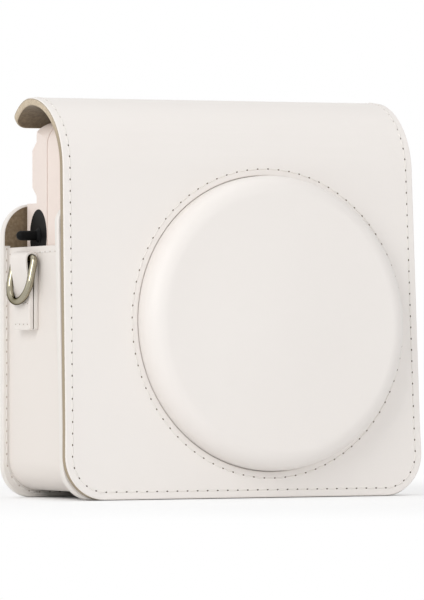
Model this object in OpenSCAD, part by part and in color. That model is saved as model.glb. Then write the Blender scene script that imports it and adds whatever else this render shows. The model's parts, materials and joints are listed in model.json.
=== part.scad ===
// Instant camera in its fitted leather case.
// Frame: -Y front, +X to the viewer's right, +Z up, millimetres.
// Inside the modules y is measured from the front face of the case at floor level;
// the last lines move the part so that its origin is the middle of its footprint.

/* [Camera body] */
// Width of the camera body
cam_w = 122; // [116:1:132]
// Height of the camera body
cam_h = 117.6; // [114:0.2:124]
// Depth of the camera body at its lower edge
cam_d = 40.5; // [40:0.5:46]
// Wall thickness of the moulded shells
cam_wall = 1.6; // [1.4:0.1:2]
// Lean of the camera front and of the case front, in degrees
lean = 2.55; // [1:0.05:3]
// Radius of the camera's front top edge
cam_top_r = 12; // [10:0.5:14]
// How far the upper back stands in from the lower back
back_step = 12.2; // [11:0.1:13]
// Height of the ledge between the lower and the upper back, from the floor
ledge_z = 95.8; // [95:0.1:98]
// How far each side narrows from the seam to the back
side_draft = 3.4; // [2:0.1:4]

/* [Lens] */
// Sideways offset of the lens axis from the middle
lens_x = 9.4; // [4:0.2:10]
// Height of the lens axis above the floor
lens_z = 56.8; // [56:0.2:59]
// Outer radius of the twist ring
ring_r = 39.5; // [38.5:0.5:40]
// Outer radius of the sliding barrel
barrel_r = 33; // [31:0.5:33.5]
// How far the barrel slides out
barrel_travel = 4.5; // [3:0.5:5]
// Radius of the front lens
glass_r = 11; // [9:0.5:13]

/* [Leather case] */
// Thickness of the front cover
cover_t = 2.6; // [2.2:0.1:3]
// Thickness of the front and back walls
wall_t = 2.5; // [2:0.1:3]
// Thickness of the gusset, the band round the sides and the bottom
gusset_t = 2; // [1.6:0.1:2.4]
// Height of the gusset's top edge above the floor
gusset_h = 82; // [78:0.5:82.5]
// How far the walls stand out past the gusset
flange = 2; // [1.5:0.1:2.5]
// Height of the front and back walls
tray_h = 95.7; // [95.5:0.1:98]
// Room between the top of the camera and the cover
top_room = 5.1; // [4.5:0.1:7]
// How far each side of the cover draws in from the floor to the top
cover_taper = 1.5; // [0:0.1:2]
// Radius of the cover's lower corners
cover_corner_r = 14; // [11:0.5:16]
// Radius of the bend over the front top edge
hood_r = 24; // [22:0.5:24.5]
// Radius of the bend over the rear top edge
hood_rear_r = 20; // [19:0.5:21]
// Radius of the lens dome at its base
dome_r = 48.1; // [46:0.1:49]
// Height of the lens dome
dome_h = 9; // [8.5:0.5:12]
// Radius of the rounding round the dome's front
dome_edge_r = 6.4; // [5:0.2:8]
// Width of the tongue that hinges the cover
tongue_w = 34; // [26:1:40]

/* [Strap fittings] */
// Height of the strap lug above the floor
lug_z = 85.3; // [85:0.1:87]
// Radius of the lug's disc
lug_r = 8.5; // [7:0.1:9]
// Radius of the lug's peg
peg_r = 1.6; // [1.4:0.1:2]
// Wire radius of the D ring
wire_r = 1.2; // [1:0.1:1.3]
// Width of the D ring between the wires' centres
d_ring_w = 14; // [13.4:0.2:15]
// Height of the D ring between the wires' centres
d_ring_h = 14.4; // [12:0.2:16]
// Outward tilt of the hanging D ring in degrees
d_ring_tilt = 12; // [8:1:16]

/* [Film drive] */
// Module of the gears
gear_m = 0.42; // [0.4:0.01:0.44]
// Teeth of the gears on both rollers
roller_teeth = 16; // [16:1:17]
// Face width of a gear
gear_w = 2.6; // [2:0.1:2.8]
// Backlash at the pitch circle
backlash = 0.1; // [0.06:0.01:0.14]

/* [Fits] */
// Gap between the camera and its case
fit = 0.3; // [0.3:0.05:0.5]
// Radial clearance of a turning or sliding fit
run = 0.05; // [0.02:0.01:0.08]
// Gap at glued and screwed faces
seat = 0.05; // [0.02:0.01:0.1]
// Gap round doors, windows and buttons
edge_gap = 0.25; // [0.2:0.05:0.35]

/* [Hidden] */
$fn = 64;
far = 200;
tan_lean = tan(lean);
cos_lean = cos(lean);
sin_lean = sin(lean);

// Case walls, from the camera outwards
base_inset = 2.4;
gusset_in = cam_w / 2 + fit;
gusset_out = gusset_in + gusset_t;
wall_half = gusset_out + flange;
cover_half = wall_half + 0.8;
cam_z = base_inset + gusset_t + fit;
cam_top = cam_z + cam_h;
cover_h = cam_top + top_room + cover_t;
wall_y = cover_t + fit;
tray_y = wall_y + wall_t;
cam_y = tray_y + fit;
cam_back = cam_y + cam_d;
back_y = cam_back + fit;
case_back_y = back_y + wall_t;
tray_corner_r = 10.5;
front_low = ceil(20 * tray_y * tan_lean) / 20;
gusset_corner_r = 10.5;

// Hood, the cover's bend over the top
hood_z = cover_h - hood_r;
hood_y = (hood_r + hood_z * sin_lean) / cos_lean;
front_run = hood_y * sin_lean + hood_z * cos_lean;
hood_rear_z = cover_h - hood_rear_r;
hood_end = 58;
hood_corner_r = 7;
hood_tip_y = hood_y + hood_rear_r * sin(hood_end);
hood_tip_z = hood_rear_z + hood_rear_r * cos(hood_end);

// Tongue and hinge line of the cover
bead_r = 1.2;
tongue_t = 1.6;
hinge_y = hood_tip_y + 1.45;
hinge_z = hood_tip_z - 1.15;
rail_top = tray_h + 10.3;
rail_half = tongue_w / 2 + 7;
snap_x = tongue_w / 2 - 7;
snap_z = rail_top - 6.5;
snap_post_r = 1.8;
snap_r = 5;
snap_h = 1.8;

// Lens dome, in the leaning frame of the cover
dome_t = 1.6;
dome_flange_r = dome_r + 5.4;
dome_flange_t = 1.2;
dome_u = lens_z / cos_lean;
notch_r = ring_r + 2.5;
magnet_r = 5;
magnet_t = 1.4;
magnet_x = 46;
magnet_u = 9;

// Window of the case back and the two doors behind it
window_half = cam_w / 2 - 6.5;
window_low = cam_z + 0.3;
window_top = tray_h - 3.5;
knuckle_r = 1.5;
door_pin_r = 0.75;
door_axis_y = cam_back + 0.7;
door_t = 1.7;
door_in = cam_back - door_t;
film_door_axis = window_half - 2.3;
film_door_low = cam_z + cam_wall + 1.1;
film_door_top = window_top - 1.6;
lug_len = 2.9;
battery_axis = -(window_half - 2.2);
battery_low = film_door_low + 0.6;
battery_top = battery_low + 61;
grip_x = lens_x - 40;
film_door_edge = grip_x + 0.2;
battery_edge = grip_x - 4;

// Camera shells
seam_y = cam_y + 17.9;
seam_w = 0.5;
bump_low = ledge_z + 5.2;
bump_high = bump_low + 12;
bump_chamfer = 2.8;
bump_right = -36;
cam_corner_r = 8;
cam_edge_r = 6;
rear_edge_r = 4;
draft_tan = side_draft / (cam_back - seam_y);
draft = atan(draft_tan);

// Windows in the upper front, in the leaning frame
window_u = 104.8;
finder_x = -47.8;
finder_w = 12.6;
finder_h = 8.4;
finder_u = 106.6;
flash_x = 14;
flash_w = 31.6;
flash_win_h = 9.2;
sensor_r = 2.6;
sensor_x = -18;
sensor_pitch = 8;

// Film and film drive
film_y = cam_y + 18.3;
film_w = 72;
film_h = 81;
pack_w = 78;
pack_low = cam_z + cam_wall + 0.3;
pack_top = film_door_top - 0.9;
pack_y = film_y - 1.1;
pack_back = door_in - 3.6;
chassis_t = 1.5;
chassis_y = pack_y - 0.2 - chassis_t;
chassis_half = pack_w / 2 + 1.8;
aperture = 63;
chamber_y = cam_y + 7.9;
roller_z = 104;
roller_r = gear_m * roller_teeth / 2 - 0.06;
roller_half = film_w / 2 + 2;
shaft_r = 1.5;
arbor_r = 0.9;
plate_t = 1.4;
plate_left = lens_x - chassis_half - 0.2;
plate_right = lens_x + chassis_half + 0.2;
rear_roller = [film_y + gear_m * roller_teeth / 2, roller_z];
front_roller = [film_y - gear_m * roller_teeth / 2, roller_z];
pitch_1 = plate_left - plate_t - 0.3;
pitch_2 = pitch_1 - gear_w - 0.5;
pitch_3 = pitch_2 - gear_w - 0.5;
gear_plate_x = pitch_3 - gear_w - 0.3;
first_small = 14;
first_big = 24;
second_small = 12;
second_big = 28;
pinion_teeth = 10;
first_dir = 255;
second_dir = 250;
pinion_dir = 240;
first_at = stepped(rear_roller, gear_m * (roller_teeth + first_small) / 2, first_dir);
second_at = stepped(first_at, gear_m * (first_big + second_small) / 2, second_dir);
motor_at = stepped(second_at, gear_m * (second_big + pinion_teeth) / 2, pinion_dir);
rear_phase = 0;
front_phase = mesh(rear_phase, roller_teeth, roller_teeth, 180);
first_phase = mesh(rear_phase, roller_teeth, first_small, first_dir);
second_phase = mesh(first_phase, first_big, second_small, second_dir);
pinion_phase = mesh(second_phase, second_big, pinion_teeth, pinion_dir);
motor_r = 6.5;

// Upper back, clear of the gears, and the eyepiece's housing on it
roller_rear = rear_roller[0] + gear_m * (roller_teeth / 2 + 1);
gear_rear = first_at[0] + gear_m * (first_big / 2 + 1);
upper_back = max(cam_back - back_step, max(roller_rear, gear_rear) + 0.4 + cam_wall);
bump_back = upper_back + 4.3;

// Lens
boss_r = ring_r + 0.5;
boss_y = cam_y + 0.1;
mount_y = cam_y - 7.7;
mount_t = 2;
mount_flange_y = chamber_y - 1.7;
barrel_y = cam_y - 3.2;
barrel_back = cam_y + 6.3;
cell_back = cam_y + 3.3;
barrel_t = 2.5;
cell_t = 1.5;
blade_pivot = 16;
aperture_r = 7;
mirror_at = [-20, 9];
mirror_r = 5;

// Grip: button, board, cells and counter
button_x = -47;
button_z = 66;
button_r = 7.5;
board_t = 1.2;
board_y = cam_y + 19.8;
cell_r = 7.8;
cell_len = 27;
box_in = cell_r + 0.2;
box_t = 1;
cell_x = battery_axis + box_in + box_t - 0.75;
box_y = board_y + board_t + 0.3;
cell_y = box_y + box_t + box_in;
dial_r = 8;
dial_x = -44;
dial_z = 82;
dial_y = door_in - 3.2;

// Strap fittings
lug_y = seam_y + lug_r + 0.1;
lug_t = 0.8;
peg_len = 7.5;
tab_y = cam_y + 24.9;
tab_w = d_ring_w - 2 * wire_r - 0.6;
tab_t = 1.8;
tab_low = 54.3;
tab_loop_t = 0.9;
bar_z = gusset_h - 4;
bar_x = gusset_out + seat + wire_r + run + tab_loop_t;

// Middle of the footprint, from the dome's front to the back of the snaps
dome_ring = dome_r - dome_edge_r;
front_most = (dome_u - dome_ring) * sin_lean - (dome_h - dome_edge_r) * cos_lean - dome_edge_r;
back_most = case_back_y + seat + tongue_t + snap_h;
origin_y = (front_most + back_most) / 2;

// A point one step of the given length away, at an angle from +Y towards +Z
function stepped(from, d, a) = [from[0] + d * cos(a), from[1] + d * sin(a)];

// Rotation that puts a gap of the second gear on a tooth of the first along the line of centres
function mesh(phase, n1, n2, dir) = dir + 180 - 360 / n2 * (0.5 - (dir - phase) * n1 / 360);

// Angle of the involute at radius r over the base radius rb, in degrees
function involute(rb, r) = r <= rb ? 0 : sqrt(r * r / rb / rb - 1) * 180 / PI - acos(rb / r);

// Half the angle that a tooth fills at radius r
function tooth_half(n, r) =
  let (rp = gear_m * n / 2, rb = rp * cos(20))
  90 / n - backlash / rp * 45 / PI + involute(rb, rp) - involute(rb, r);

// Outline of a spur gear
module gear_outline(n) {
  rp = gear_m * n / 2;
  tip = rp + 0.95 * gear_m;
  foot = rp - 1.2 * gear_m;
  low = max(rp * cos(20), foot + 0.02);
  flank = [foot, low, (low + tip) / 2, tip];
  polygon([
    for (i = [0:n - 1], side = [-1, 1], k = [0:3])
      let (r = flank[side < 0 ? k : 3 - k], a = i * 360 / n + side * tooth_half(n, max(r, low)))
      [r * cos(a), r * sin(a)]
  ]);
}

// Outline of a plate with its own corner radii below and above
module plate(half, low, high, r_low, r_high) {
  translate([-half, low + r_low]) square([2 * half, high - low - r_low - r_high]);
  translate([-half + r_low, low]) square([2 * (half - r_low), high - low - r_high]);
  translate([-half + r_high, low + r_low]) square([2 * (half - r_high), high - low - r_low]);
  for (side = [-1, 1]) {
    translate([side * (half - r_low), low + r_low]) circle(r_low);
    translate([side * (half - r_high), high - r_high]) circle(r_high);
  }
}

// Rectangle with equal round corners, placed by its middle
module round_rect(w, h, r) {
  square([w - 2 * r, h], center = true);
  square([w, h - 2 * r], center = true);
  for (x = [-1, 1], y = [-1, 1]) translate([x * (w / 2 - r), y * (h / 2 - r)]) circle(r);
}

// Extrudes an outline drawn in X and Z along Y
module along_y(y0, y1) translate([0, y1, 0]) rotate([90, 0, 0]) linear_extrude(y1 - y0) children();

// Extrudes an outline drawn in Y and Z along X
module along_x(x0, x1) translate([x0, 0, 0]) rotate([90, 0, 90]) linear_extrude(x1 - x0) children();

// Round bar along Y
module rod_y(x, z, r, y0, y1) translate([x, y1, z]) rotate([90, 0, 0]) cylinder(r = r, h = y1 - y0);

// Round bar along X, placed by its Y and Z
module rod_x(at, r, x0, x1) translate([x0, at[0], at[1]]) rotate([0, 90, 0]) cylinder(r = r, h = x1 - x0);

// Box between two corners
module box(a, b) translate(a) cube(b - a);

// Tilts what stands upright back by the lean of the front
module leaning() rotate([-lean, 0, 0]) children();

// Everything in front of a leaning plane, to cut with
module in_front_of(y) leaning() box([-far, -far, -far], [far, y, far]);

// Left or right copy of a piece drawn on the -X side
module on_side(side) mirror([side > 0 ? 1 : 0, 0, 0]) children();

// Spur gear whose back face stands at x1
module gear(at, n, phase, x1) {
  along_x(x1 - gear_w, x1) translate(at) rotate(phase) gear_outline(n);
}

// Back wall of the case, with the window for the doors and the rail for the tongue
module case_back() {
  color("ivory") difference() {
    along_y(back_y, case_back_y) difference() {
      union() {
        plate(wall_half, 0, tray_h, tray_corner_r, tray_corner_r);
        plate(rail_half, tray_h - 8, rail_top, 4, 5);
      }
      plate(window_half, window_low, window_top, 2.5, 2.5);
    }
    for (side = [-1, 1]) rod_y(side * snap_x, snap_z, snap_post_r + run, 0, far);
  }
}

// Band round both sides and the bottom
module case_gusset() {
  color("seashell") difference() {
    along_y(0, back_y - seat) difference() {
      plate(gusset_out, base_inset, far, gusset_corner_r, 1);
      plate(gusset_in, base_inset + gusset_t, far + 1, gusset_corner_r - gusset_t, 1);
    }
    in_front_of(tray_y + seat);
    box([-far, -far, gusset_h], [far, far, far + 2]);
  }
}

// Front wall of the case, open round the lens and the shutter button
module case_front() {
  color("ivory") leaning() difference() {
    along_y(wall_y, tray_y) difference() {
      plate(wall_half, front_low, tray_h, cover_corner_r - 0.8, tray_corner_r);
      translate([lens_x, dome_u]) circle(notch_r);
      translate([lens_x - notch_r + 0.05, dome_u]) square([2 * notch_r - 0.1, far]);
      translate([button_x, button_z]) circle(button_r + 1.2);
    }
    for (side = [-1, 1])
      rod_y(side * magnet_x, magnet_u, magnet_r + run, wall_y - 1, wall_y + magnet_t + seat);
  }
}

// Steel plates let into the front wall, for the magnets in the cover
module clasp_plates() {
  color("silver") leaning() for (side = [-1, 1])
    rod_y(side * magnet_x, magnet_u, magnet_r, wall_y, wall_y + magnet_t);
}

// Tongue from the rail of the back wall up to the hinge line
module hinge_tongue() {
  back = case_back_y + seat;
  color("ivory") difference() {
    along_x(-tongue_w / 2, tongue_w / 2) {
      polygon([
        [back, snap_z - 6.5], [back + tongue_t, snap_z - 6.5], [back + tongue_t, rail_top],
        [hinge_y + tongue_t / 2, hinge_z], [hinge_y - tongue_t / 2, hinge_z], [back, rail_top]
      ]);
      translate([hinge_y, hinge_z]) circle(bead_r);
    }
    for (side = [-1, 1]) rod_y(side * snap_x, snap_z, snap_post_r + run, 0, far);
  }
}

// Caps of the two press studs on the tongue
module snap_caps() {
  face = case_back_y + 2 * seat + tongue_t;
  color("gainsboro") for (side = [-1, 1])
    translate([side * snap_x, face, snap_z]) rotate([-90, 0, 0]) rotate_extrude() difference() {
      intersection() {
        translate([0, snap_h - 14]) circle(14);
        square([snap_r, snap_h]);
      }
      translate([0, -1]) square([snap_post_r + run, 1.8]);
    }
}

// Studs set in the rail, with their posts in the caps
module snap_studs() {
  color("silver") for (side = [-1, 1]) {
    rod_y(side * snap_x, snap_z, snap_r - 0.8, back_y - seat - 0.8, back_y - seat);
    rod_y(side * snap_x, snap_z, snap_post_r, back_y - seat - 0.4, case_back_y + tongue_t + 0.7);
  }
}

// What lies behind the cover's front and below its first bend, drawn in by the given amount
module hood_front(inset) {
  rotate(-lean) translate([inset, -inset]) square([hood_r, front_run + inset]);
  translate([hood_y, hood_z]) circle(hood_r - inset);
}

// Side profile of the cover: leaning front, bend over the top, end over the back
module cover_profile() {
  intersection() {
    difference() {
      hood_front(0);
      hood_front(cover_t);
    }
    polygon([
      [hood_y, hood_z], [hood_y, hood_z + far], [-far, hood_z + far], [-far, -far], [0, -far]
    ]);
  }
  intersection() {
    translate([hood_y, hood_rear_z]) difference() {
      circle(hood_rear_r);
      circle(hood_rear_r - cover_t);
    }
    polygon([
      [hood_y, hood_rear_z], [hood_y, hood_rear_z + far],
      [hood_y + far * sin(hood_end), hood_rear_z + far * cos(hood_end)]
    ]);
  }
}

// Front cover: one sheet from the floor over the top to the hinge line
module cover_panel() {
  top_half = cover_half - cover_taper;
  color("ivory") difference() {
    intersection() {
      along_x(-far, far) cover_profile();
      along_y(-far, far) intersection() {
        plate(cover_half, 0.2, far, cover_corner_r, 1);
        polygon([
          [-cover_half, 0], [cover_half, 0], [top_half, cover_h], [top_half, far],
          [-top_half, far], [-top_half, cover_h]
        ]);
      }
      linear_extrude(far) plate(top_half + cover_taper, -far, hood_tip_y, 1, hood_corner_r + cover_taper);
    }
    leaning() {
      rod_y(lens_x, dome_u, dome_r + seat, -1, cover_t + 1);
      rod_y(lens_x, dome_u, dome_flange_r + seat, cover_t - dome_flange_t - seat, cover_t + 1);
      for (side = [-1, 1])
        rod_y(side * magnet_x, magnet_u, magnet_r + run, cover_t - magnet_t - seat, cover_t + 1);
    }
  }
}

// Moulded dome over the lens, with the flange that is sewn behind the cover
module lens_dome() {
  color("ivory") leaning() translate([lens_x, 0, dome_u]) rotate([90, 0, 0]) rotate_extrude() {
    translate([dome_r - dome_t, -cover_t]) square([dome_flange_r - dome_r + dome_t, dome_flange_t]);
    translate([dome_r - dome_t, -cover_t]) square([dome_t, cover_t + dome_h - dome_edge_r]);
    translate([0, dome_h - dome_t]) square([dome_r - dome_edge_r, dome_t]);
    translate([dome_r - dome_edge_r, dome_h - dome_edge_r]) intersection() {
      difference() {
        circle(dome_edge_r);
        circle(dome_edge_r - dome_t);
      }
      square(dome_edge_r);
    }
  }
}

// Magnets in the cover's lower edge
module clasp_magnets() {
  color("dimgray") leaning() for (side = [-1, 1])
    rod_y(side * magnet_x, magnet_u, magnet_r, cover_t - magnet_t, cover_t);
}

// Leather tab on the gusset, folded round the bar of the D ring
module strap_tab(side) {
  color("ivory") on_side(side) difference() {
    union() {
      box([-gusset_out - seat - tab_t, tab_y - tab_w / 2, tab_low], [-gusset_out - seat, tab_y + tab_w / 2, bar_z]);
      rod_y(-bar_x, bar_z, wire_r + run + tab_loop_t, tab_y - tab_w / 2, tab_y + tab_w / 2);
    }
    rod_y(-bar_x, bar_z, wire_r + run, 0, far);
  }
}
module strap_tab_left() { strap_tab(-1); }
module strap_tab_right() { strap_tab(1); }

// D ring that hangs from the tab: bar, two arms and the bow
module d_ring(side) {
  half = d_ring_w / 2;
  color("tan") on_side(side) translate([-bar_x, tab_y, bar_z]) rotate([0, d_ring_tilt, 0]) {
    rod_y(0, 0, wire_r, -half, half);
    for (end = [-1, 1]) translate([0, end * half, 0]) {
      sphere(wire_r);
      translate([0, 0, half - d_ring_h]) cylinder(r = wire_r, h = d_ring_h - half);
    }
    translate([0, 0, half - d_ring_h]) rotate([0, 90, 0]) rotate([0, 0, -90]) rotate_extrude(angle = 180)
      translate([half, 0]) circle(wire_r);
  }
}
module d_ring_left() { d_ring(-1); }
module d_ring_right() { d_ring(1); }

// Side profile of the front half of the camera, drawn in by the given amount
module front_profile(inset) {
  r = cam_top_r - inset;
  top = cam_top - inset;
  low = -base_inset;
  face = (cam_y + inset) / cos_lean;
  bend_y = face + (top - r) * tan_lean + r / cos_lean;
  polygon([
    [face + low * tan_lean, low], [seam_y + far, low], [seam_y + far, top], [bend_y, top],
    [bend_y - r * cos_lean, top - r + r * sin_lean]
  ]);
  translate([bend_y, top - r]) circle(r);
}

// Side profile of the rear half: upper back, ledge and lower back
module rear_profile(inset) {
  low = -base_inset;
  upper = upper_back - inset;
  lower = cam_back - inset;
  top = cam_top - inset;
  ledge = ledge_z - inset;
  r = 3 - inset / 2;
  top_r = 5 - inset;
  translate([-far, low]) square([far + upper - top_r, top - low]);
  translate([-far, low]) square([far + upper, top - top_r - low]);
  translate([upper - top_r, top - top_r]) circle(top_r);
  translate([0, low]) square([lower, ledge - r - low]);
  translate([0, low]) square([lower - r, ledge - low]);
  translate([lower - r, ledge - r]) circle(r);
}

// Side profile of the eyepiece's housing
module bump_profile(inset) {
  polygon([
    [0, bump_low - bump_chamfer + inset], [upper_back - inset, bump_low - bump_chamfer + inset],
    [bump_back - inset, bump_low + inset], [bump_back - inset, bump_high - inset],
    [upper_back - inset, bump_high + bump_chamfer - inset], [0, bump_high + bump_chamfer - inset]
  ]);
}

// Front view of the camera, a little taller than the side profiles that end it at the top
module front_view(inset) {
  high = cam_top - inset + 0.02;
  plate(cam_w / 2 - inset, cam_z + inset, high, cam_corner_r - inset, cam_corner_r - inset);
}

// Plan of the rear half, drawn in towards the back; the outer form has round rear edges
module rear_plan(inset) {
  half = cam_w / 2 - inset;
  r = rear_edge_r - inset;
  back = cam_back - inset;
  edge_y = back - r;
  edge_x = half - (edge_y - seam_y) * draft_tan - r / cos(draft);
  side = [edge_x + r * cos(draft), edge_y + r * sin(draft)];
  polygon([
    [-half, 0], [half, 0], [half, seam_y], side, [edge_x, back],
    [-edge_x, back], [-side[0], side[1]], [-half, seam_y]
  ]);
  if (inset == 0) for (s = [-1, 1]) translate([s * edge_x, edge_y]) circle(r);
}

// Outer or inner form of the front half; the side profile ends the plan at the front
module front_form(inset) {
  intersection() {
    along_x(-far, far) front_profile(inset);
    along_y(-far, far) front_view(inset);
    leaning() linear_extrude(2 * far, center = true)
      plate(cam_w / 2 - inset, cam_y + inset - 0.05, far, cam_edge_r - inset, 1);
  }
}

// Outer or inner form of the rear half
module rear_form(inset) {
  intersection() {
    union() {
      along_x(-far, far) rear_profile(inset);
      along_x(-far, bump_right - inset) bump_profile(inset);
    }
    along_y(-far, far) front_view(inset);
    linear_extrude(2 * far, center = true) rear_plan(inset);
  }
}

// Slot in the top that the film leaves by
module exit_slot() {
  along_y(film_y - 1.3, film_y + 1.3)
    translate([lens_x, cam_top]) square([film_w + 4, 12], center = true);
}

// Shadow gap round the seam of the two shells
module seam_gap() {
  along_y(seam_y - seam_w, seam_y + far) difference() {
    square(2 * far, center = true);
    front_view(seam_w);
  }
}

// Front half of the housing, with the plinth round the lens
module front_shell() {
  color("linen") difference() {
    union() {
      difference() {
        front_form(0);
        front_form(cam_wall);
      }
      intersection() {
        rod_y(lens_x, lens_z, boss_r, boss_y, far);
        in_front_of(cam_y + cam_wall / 2);
      }
    }
    box([-far, seam_y - seat / 2, -far], [far, 2 * far, far]);
    seam_gap();
    rod_y(lens_x, lens_z, barrel_r + run + mount_t + seat, -far, far);
    rod_y(button_x, button_z, button_r + edge_gap, -far, far);
    exit_slot();
    leaning() along_y(0, 2 * cam_y) {
      translate([finder_x, finder_u]) round_rect(finder_w, finder_h, 1.5);
      translate([flash_x, window_u]) round_rect(flash_w, flash_win_h, 1.5);
      for (i = [0, 1]) translate([sensor_x + i * sensor_pitch, window_u]) circle(sensor_r);
    }
  }
}

// Rear half of the housing, with the hinge lugs of the two doors
module rear_shell() {
  color("linen") difference() {
    union() {
      difference() {
        rear_form(0);
        rear_form(cam_wall);
        along_y(door_in - 1, far) {
          translate([film_door_edge - edge_gap, film_door_low - edge_gap])
            square([film_door_axis + knuckle_r + 0.4 - film_door_edge, film_door_top - film_door_low + 2 * edge_gap]);
          translate([battery_axis - knuckle_r - 0.4, battery_low - edge_gap])
            square([battery_edge - battery_axis + knuckle_r + 0.4 + edge_gap, battery_top - battery_low + 2 * edge_gap]);
        }
        box([-far, -far, -far], [far, seam_y + seat / 2, far]);
        exit_slot();
        along_y(upper_back, far) {
          translate([finder_x, (bump_low + bump_high) / 2]) round_rect(finder_w, finder_h, 1.5);
          translate([dial_x, dial_z + dial_r - 3]) round_rect(7.5, 4.5, 1);
        }
        for (side = [-1, 1]) lug_frame(side) {
          translate([0, 0, -far]) cylinder(r = 3 + run, h = far);
          translate([0, 0, -lug_t]) cylinder(r = lug_r + seat, h = far);
        }
      }
      door_lugs(film_door_axis, film_door_low, film_door_top, 1);
      door_lugs(battery_axis, battery_low, battery_top, -1);
      rod_y(dial_x, dial_z, 1.5, dial_y - 0.3, door_in + 0.2);
    }
    door_bore(film_door_axis);
    door_bore(battery_axis);
  }
}

// Bore for a door's hinge pin
module door_bore(x) {
  translate([x, door_axis_y, cam_z + cam_wall + 0.8]) cylinder(r = door_pin_r + run, h = far);
}

// Pair of lugs that carry a door's hinge pin
module door_lugs(x, low, high, side) {
  for (z = [low - edge_gap, high + edge_gap - lug_len]) translate([x, door_axis_y, z]) {
    cylinder(r = knuckle_r, h = lug_len);
    translate([side > 0 ? 0 : -knuckle_r - 1, door_in - door_axis_y, 0])
      cube([knuckle_r + 1, door_t, lug_len]);
  }
}

// Door with a knuckle on its hinge line; side is +1 where the hinge is on the +X side
module door_plate(axis, edge, low, high, side) {
  gap = lug_len + 0.3;
  near = axis - side * 2;
  along_y(door_in, cam_back) {
    translate([min(near, edge), low]) square([abs(near - edge), high - low]);
    translate([min(near, axis), low + gap]) square([abs(near - axis), high - low - 2 * gap]);
  }
  translate([axis, door_axis_y, low + gap]) cylinder(r = knuckle_r, h = high - low - 2 * gap);
}

// Film door with its stiffening frame
module film_door() {
  frame_w = pack_w - 26;
  frame_z = (film_door_low + film_door_top) / 2;
  color("linen") difference() {
    union() {
      door_plate(film_door_axis, film_door_edge, film_door_low, film_door_top, 1);
      along_y(door_in - 1.2, door_in + 0.2) translate([lens_x + 6, frame_z]) difference() {
        round_rect(frame_w, 72, 4);
        round_rect(frame_w - 3, 69, 3);
      }
    }
    translate([film_door_axis, door_axis_y, 0]) cylinder(r = door_pin_r + run, h = far);
    along_y(0, far) translate([film_door_edge + 1.2, frame_z - 1.8]) square([6.8, 3.6]);
  }
}

// Battery door
module battery_door() {
  color("linen") difference() {
    door_plate(battery_axis, battery_edge, battery_low, battery_top, -1);
    translate([battery_axis, door_axis_y, 0]) cylinder(r = door_pin_r + run, h = far);
    for (i = [0:3])
      box([battery_edge - 9, cam_back - 0.4, battery_low + 6 + 2 * i], [battery_edge - 3, far, battery_low + 7 + 2 * i]);
  }
}

// Hinge pin of a door
module door_pin(axis, low, high) {
  color("silver") translate([axis, door_axis_y, low + 0.1]) cylinder(r = door_pin_r, h = high - low - 0.2);
}
module film_door_pin() { door_pin(film_door_axis, film_door_low, film_door_top); }
module battery_door_pin() { door_pin(battery_axis, battery_low, battery_top); }

// Latch of the film door: slide inside, stem and thumb piece outside
module film_door_latch() {
  mid = (film_door_low + film_door_top) / 2;
  x = film_door_edge + 4.6;
  color("darkgray") {
    box([film_door_edge + 0.6, door_in - 1.5, mid - 3], [film_door_edge + 11, door_in - 0.2, mid + 3]);
    box([x, door_in - 1, mid - 1.5], [x + 3, cam_back + 0.6, mid + 1.5]);
    along_y(cam_back + 0.3, cam_back + 1.7) translate([x + 1.5, mid]) round_rect(7, 10, 1.5);
  }
}

// Leaf springs on the film door that press on the film pack
module pressure_springs() {
  bow = door_in - pack_back - 0.4;
  half = 15;
  r = (half * half + bow * bow) / (2 * bow);
  color("silver") for (x = [lens_x - 14, lens_x + 26])
    along_x(x - 3, x + 3) intersection() {
      translate([pack_back + 0.35 + r, lens_z - 8]) difference() {
        circle(r);
        circle(r - 0.4);
      }
      translate([0, lens_z - 8 - half]) square([door_in - seat, 2 * half]);
    }
}

// Frame of a lug: origin on the shell's side, +Z outwards
module lug_frame(side) {
  on_side(side) translate([-cam_w / 2 + (lug_y - seam_y) * draft_tan, lug_y, lug_z])
    rotate([0, 0, -draft]) rotate([0, -90, 0]) children();
}

// Strap lug: disc let into the shell, peg outside, rivet head inside
module strap_lug(side) {
  color("black") lug_frame(side) {
    translate([0, 0, seat - lug_t]) cylinder(r = lug_r, h = lug_t);
    cylinder(r = peg_r, h = peg_len - peg_r);
    translate([0, 0, seat]) cylinder(r1 = peg_r + 0.9, r2 = peg_r, h = 0.9);
    translate([0, 0, peg_len - peg_r]) sphere(peg_r);
    translate([0, 0, -cam_wall - 0.2]) cylinder(r = 3, h = cam_wall + 0.4);
    translate([0, 0, -cam_wall - 1.1]) cylinder(r = 4.5, h = 1);
  }
}
module strap_lug_left() { strap_lug(-1); }
module strap_lug_right() { strap_lug(1); }

// Clear plate set in a window of the leaning front
module front_pane(x, u, w, h) {
  leaning() along_y(cam_y + 0.3, cam_y + cam_wall)
    translate([x, u]) round_rect(w - 2 * seat, h - 2 * seat, 1.5 - seat);
}
module viewfinder_window() { color("lightcyan") front_pane(finder_x, finder_u, finder_w, finder_h); }
module flash_window() { color("white") front_pane(flash_x, window_u, flash_w, flash_win_h); }

// Round panes of the light sensors
module sensor_windows() {
  color("dimgray") leaning() for (i = [0, 1])
    rod_y(sensor_x + i * sensor_pitch, window_u, sensor_r - seat, cam_y + 0.3, cam_y + cam_wall);
}

// Tube of the viewfinder
module viewfinder_tube() {
  z = (bump_low + bump_high) / 2;
  front = (cam_y + cam_wall) / cos_lean + (z + finder_h / 2) * tan_lean + 0.25;
  color("black") along_y(front, bump_back - cam_wall - seat) translate([finder_x, z]) difference() {
    round_rect(finder_w - 0.2, finder_h - 0.2, 1.4);
    round_rect(finder_w - 2, finder_h - 2, 0.8);
  }
}

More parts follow.
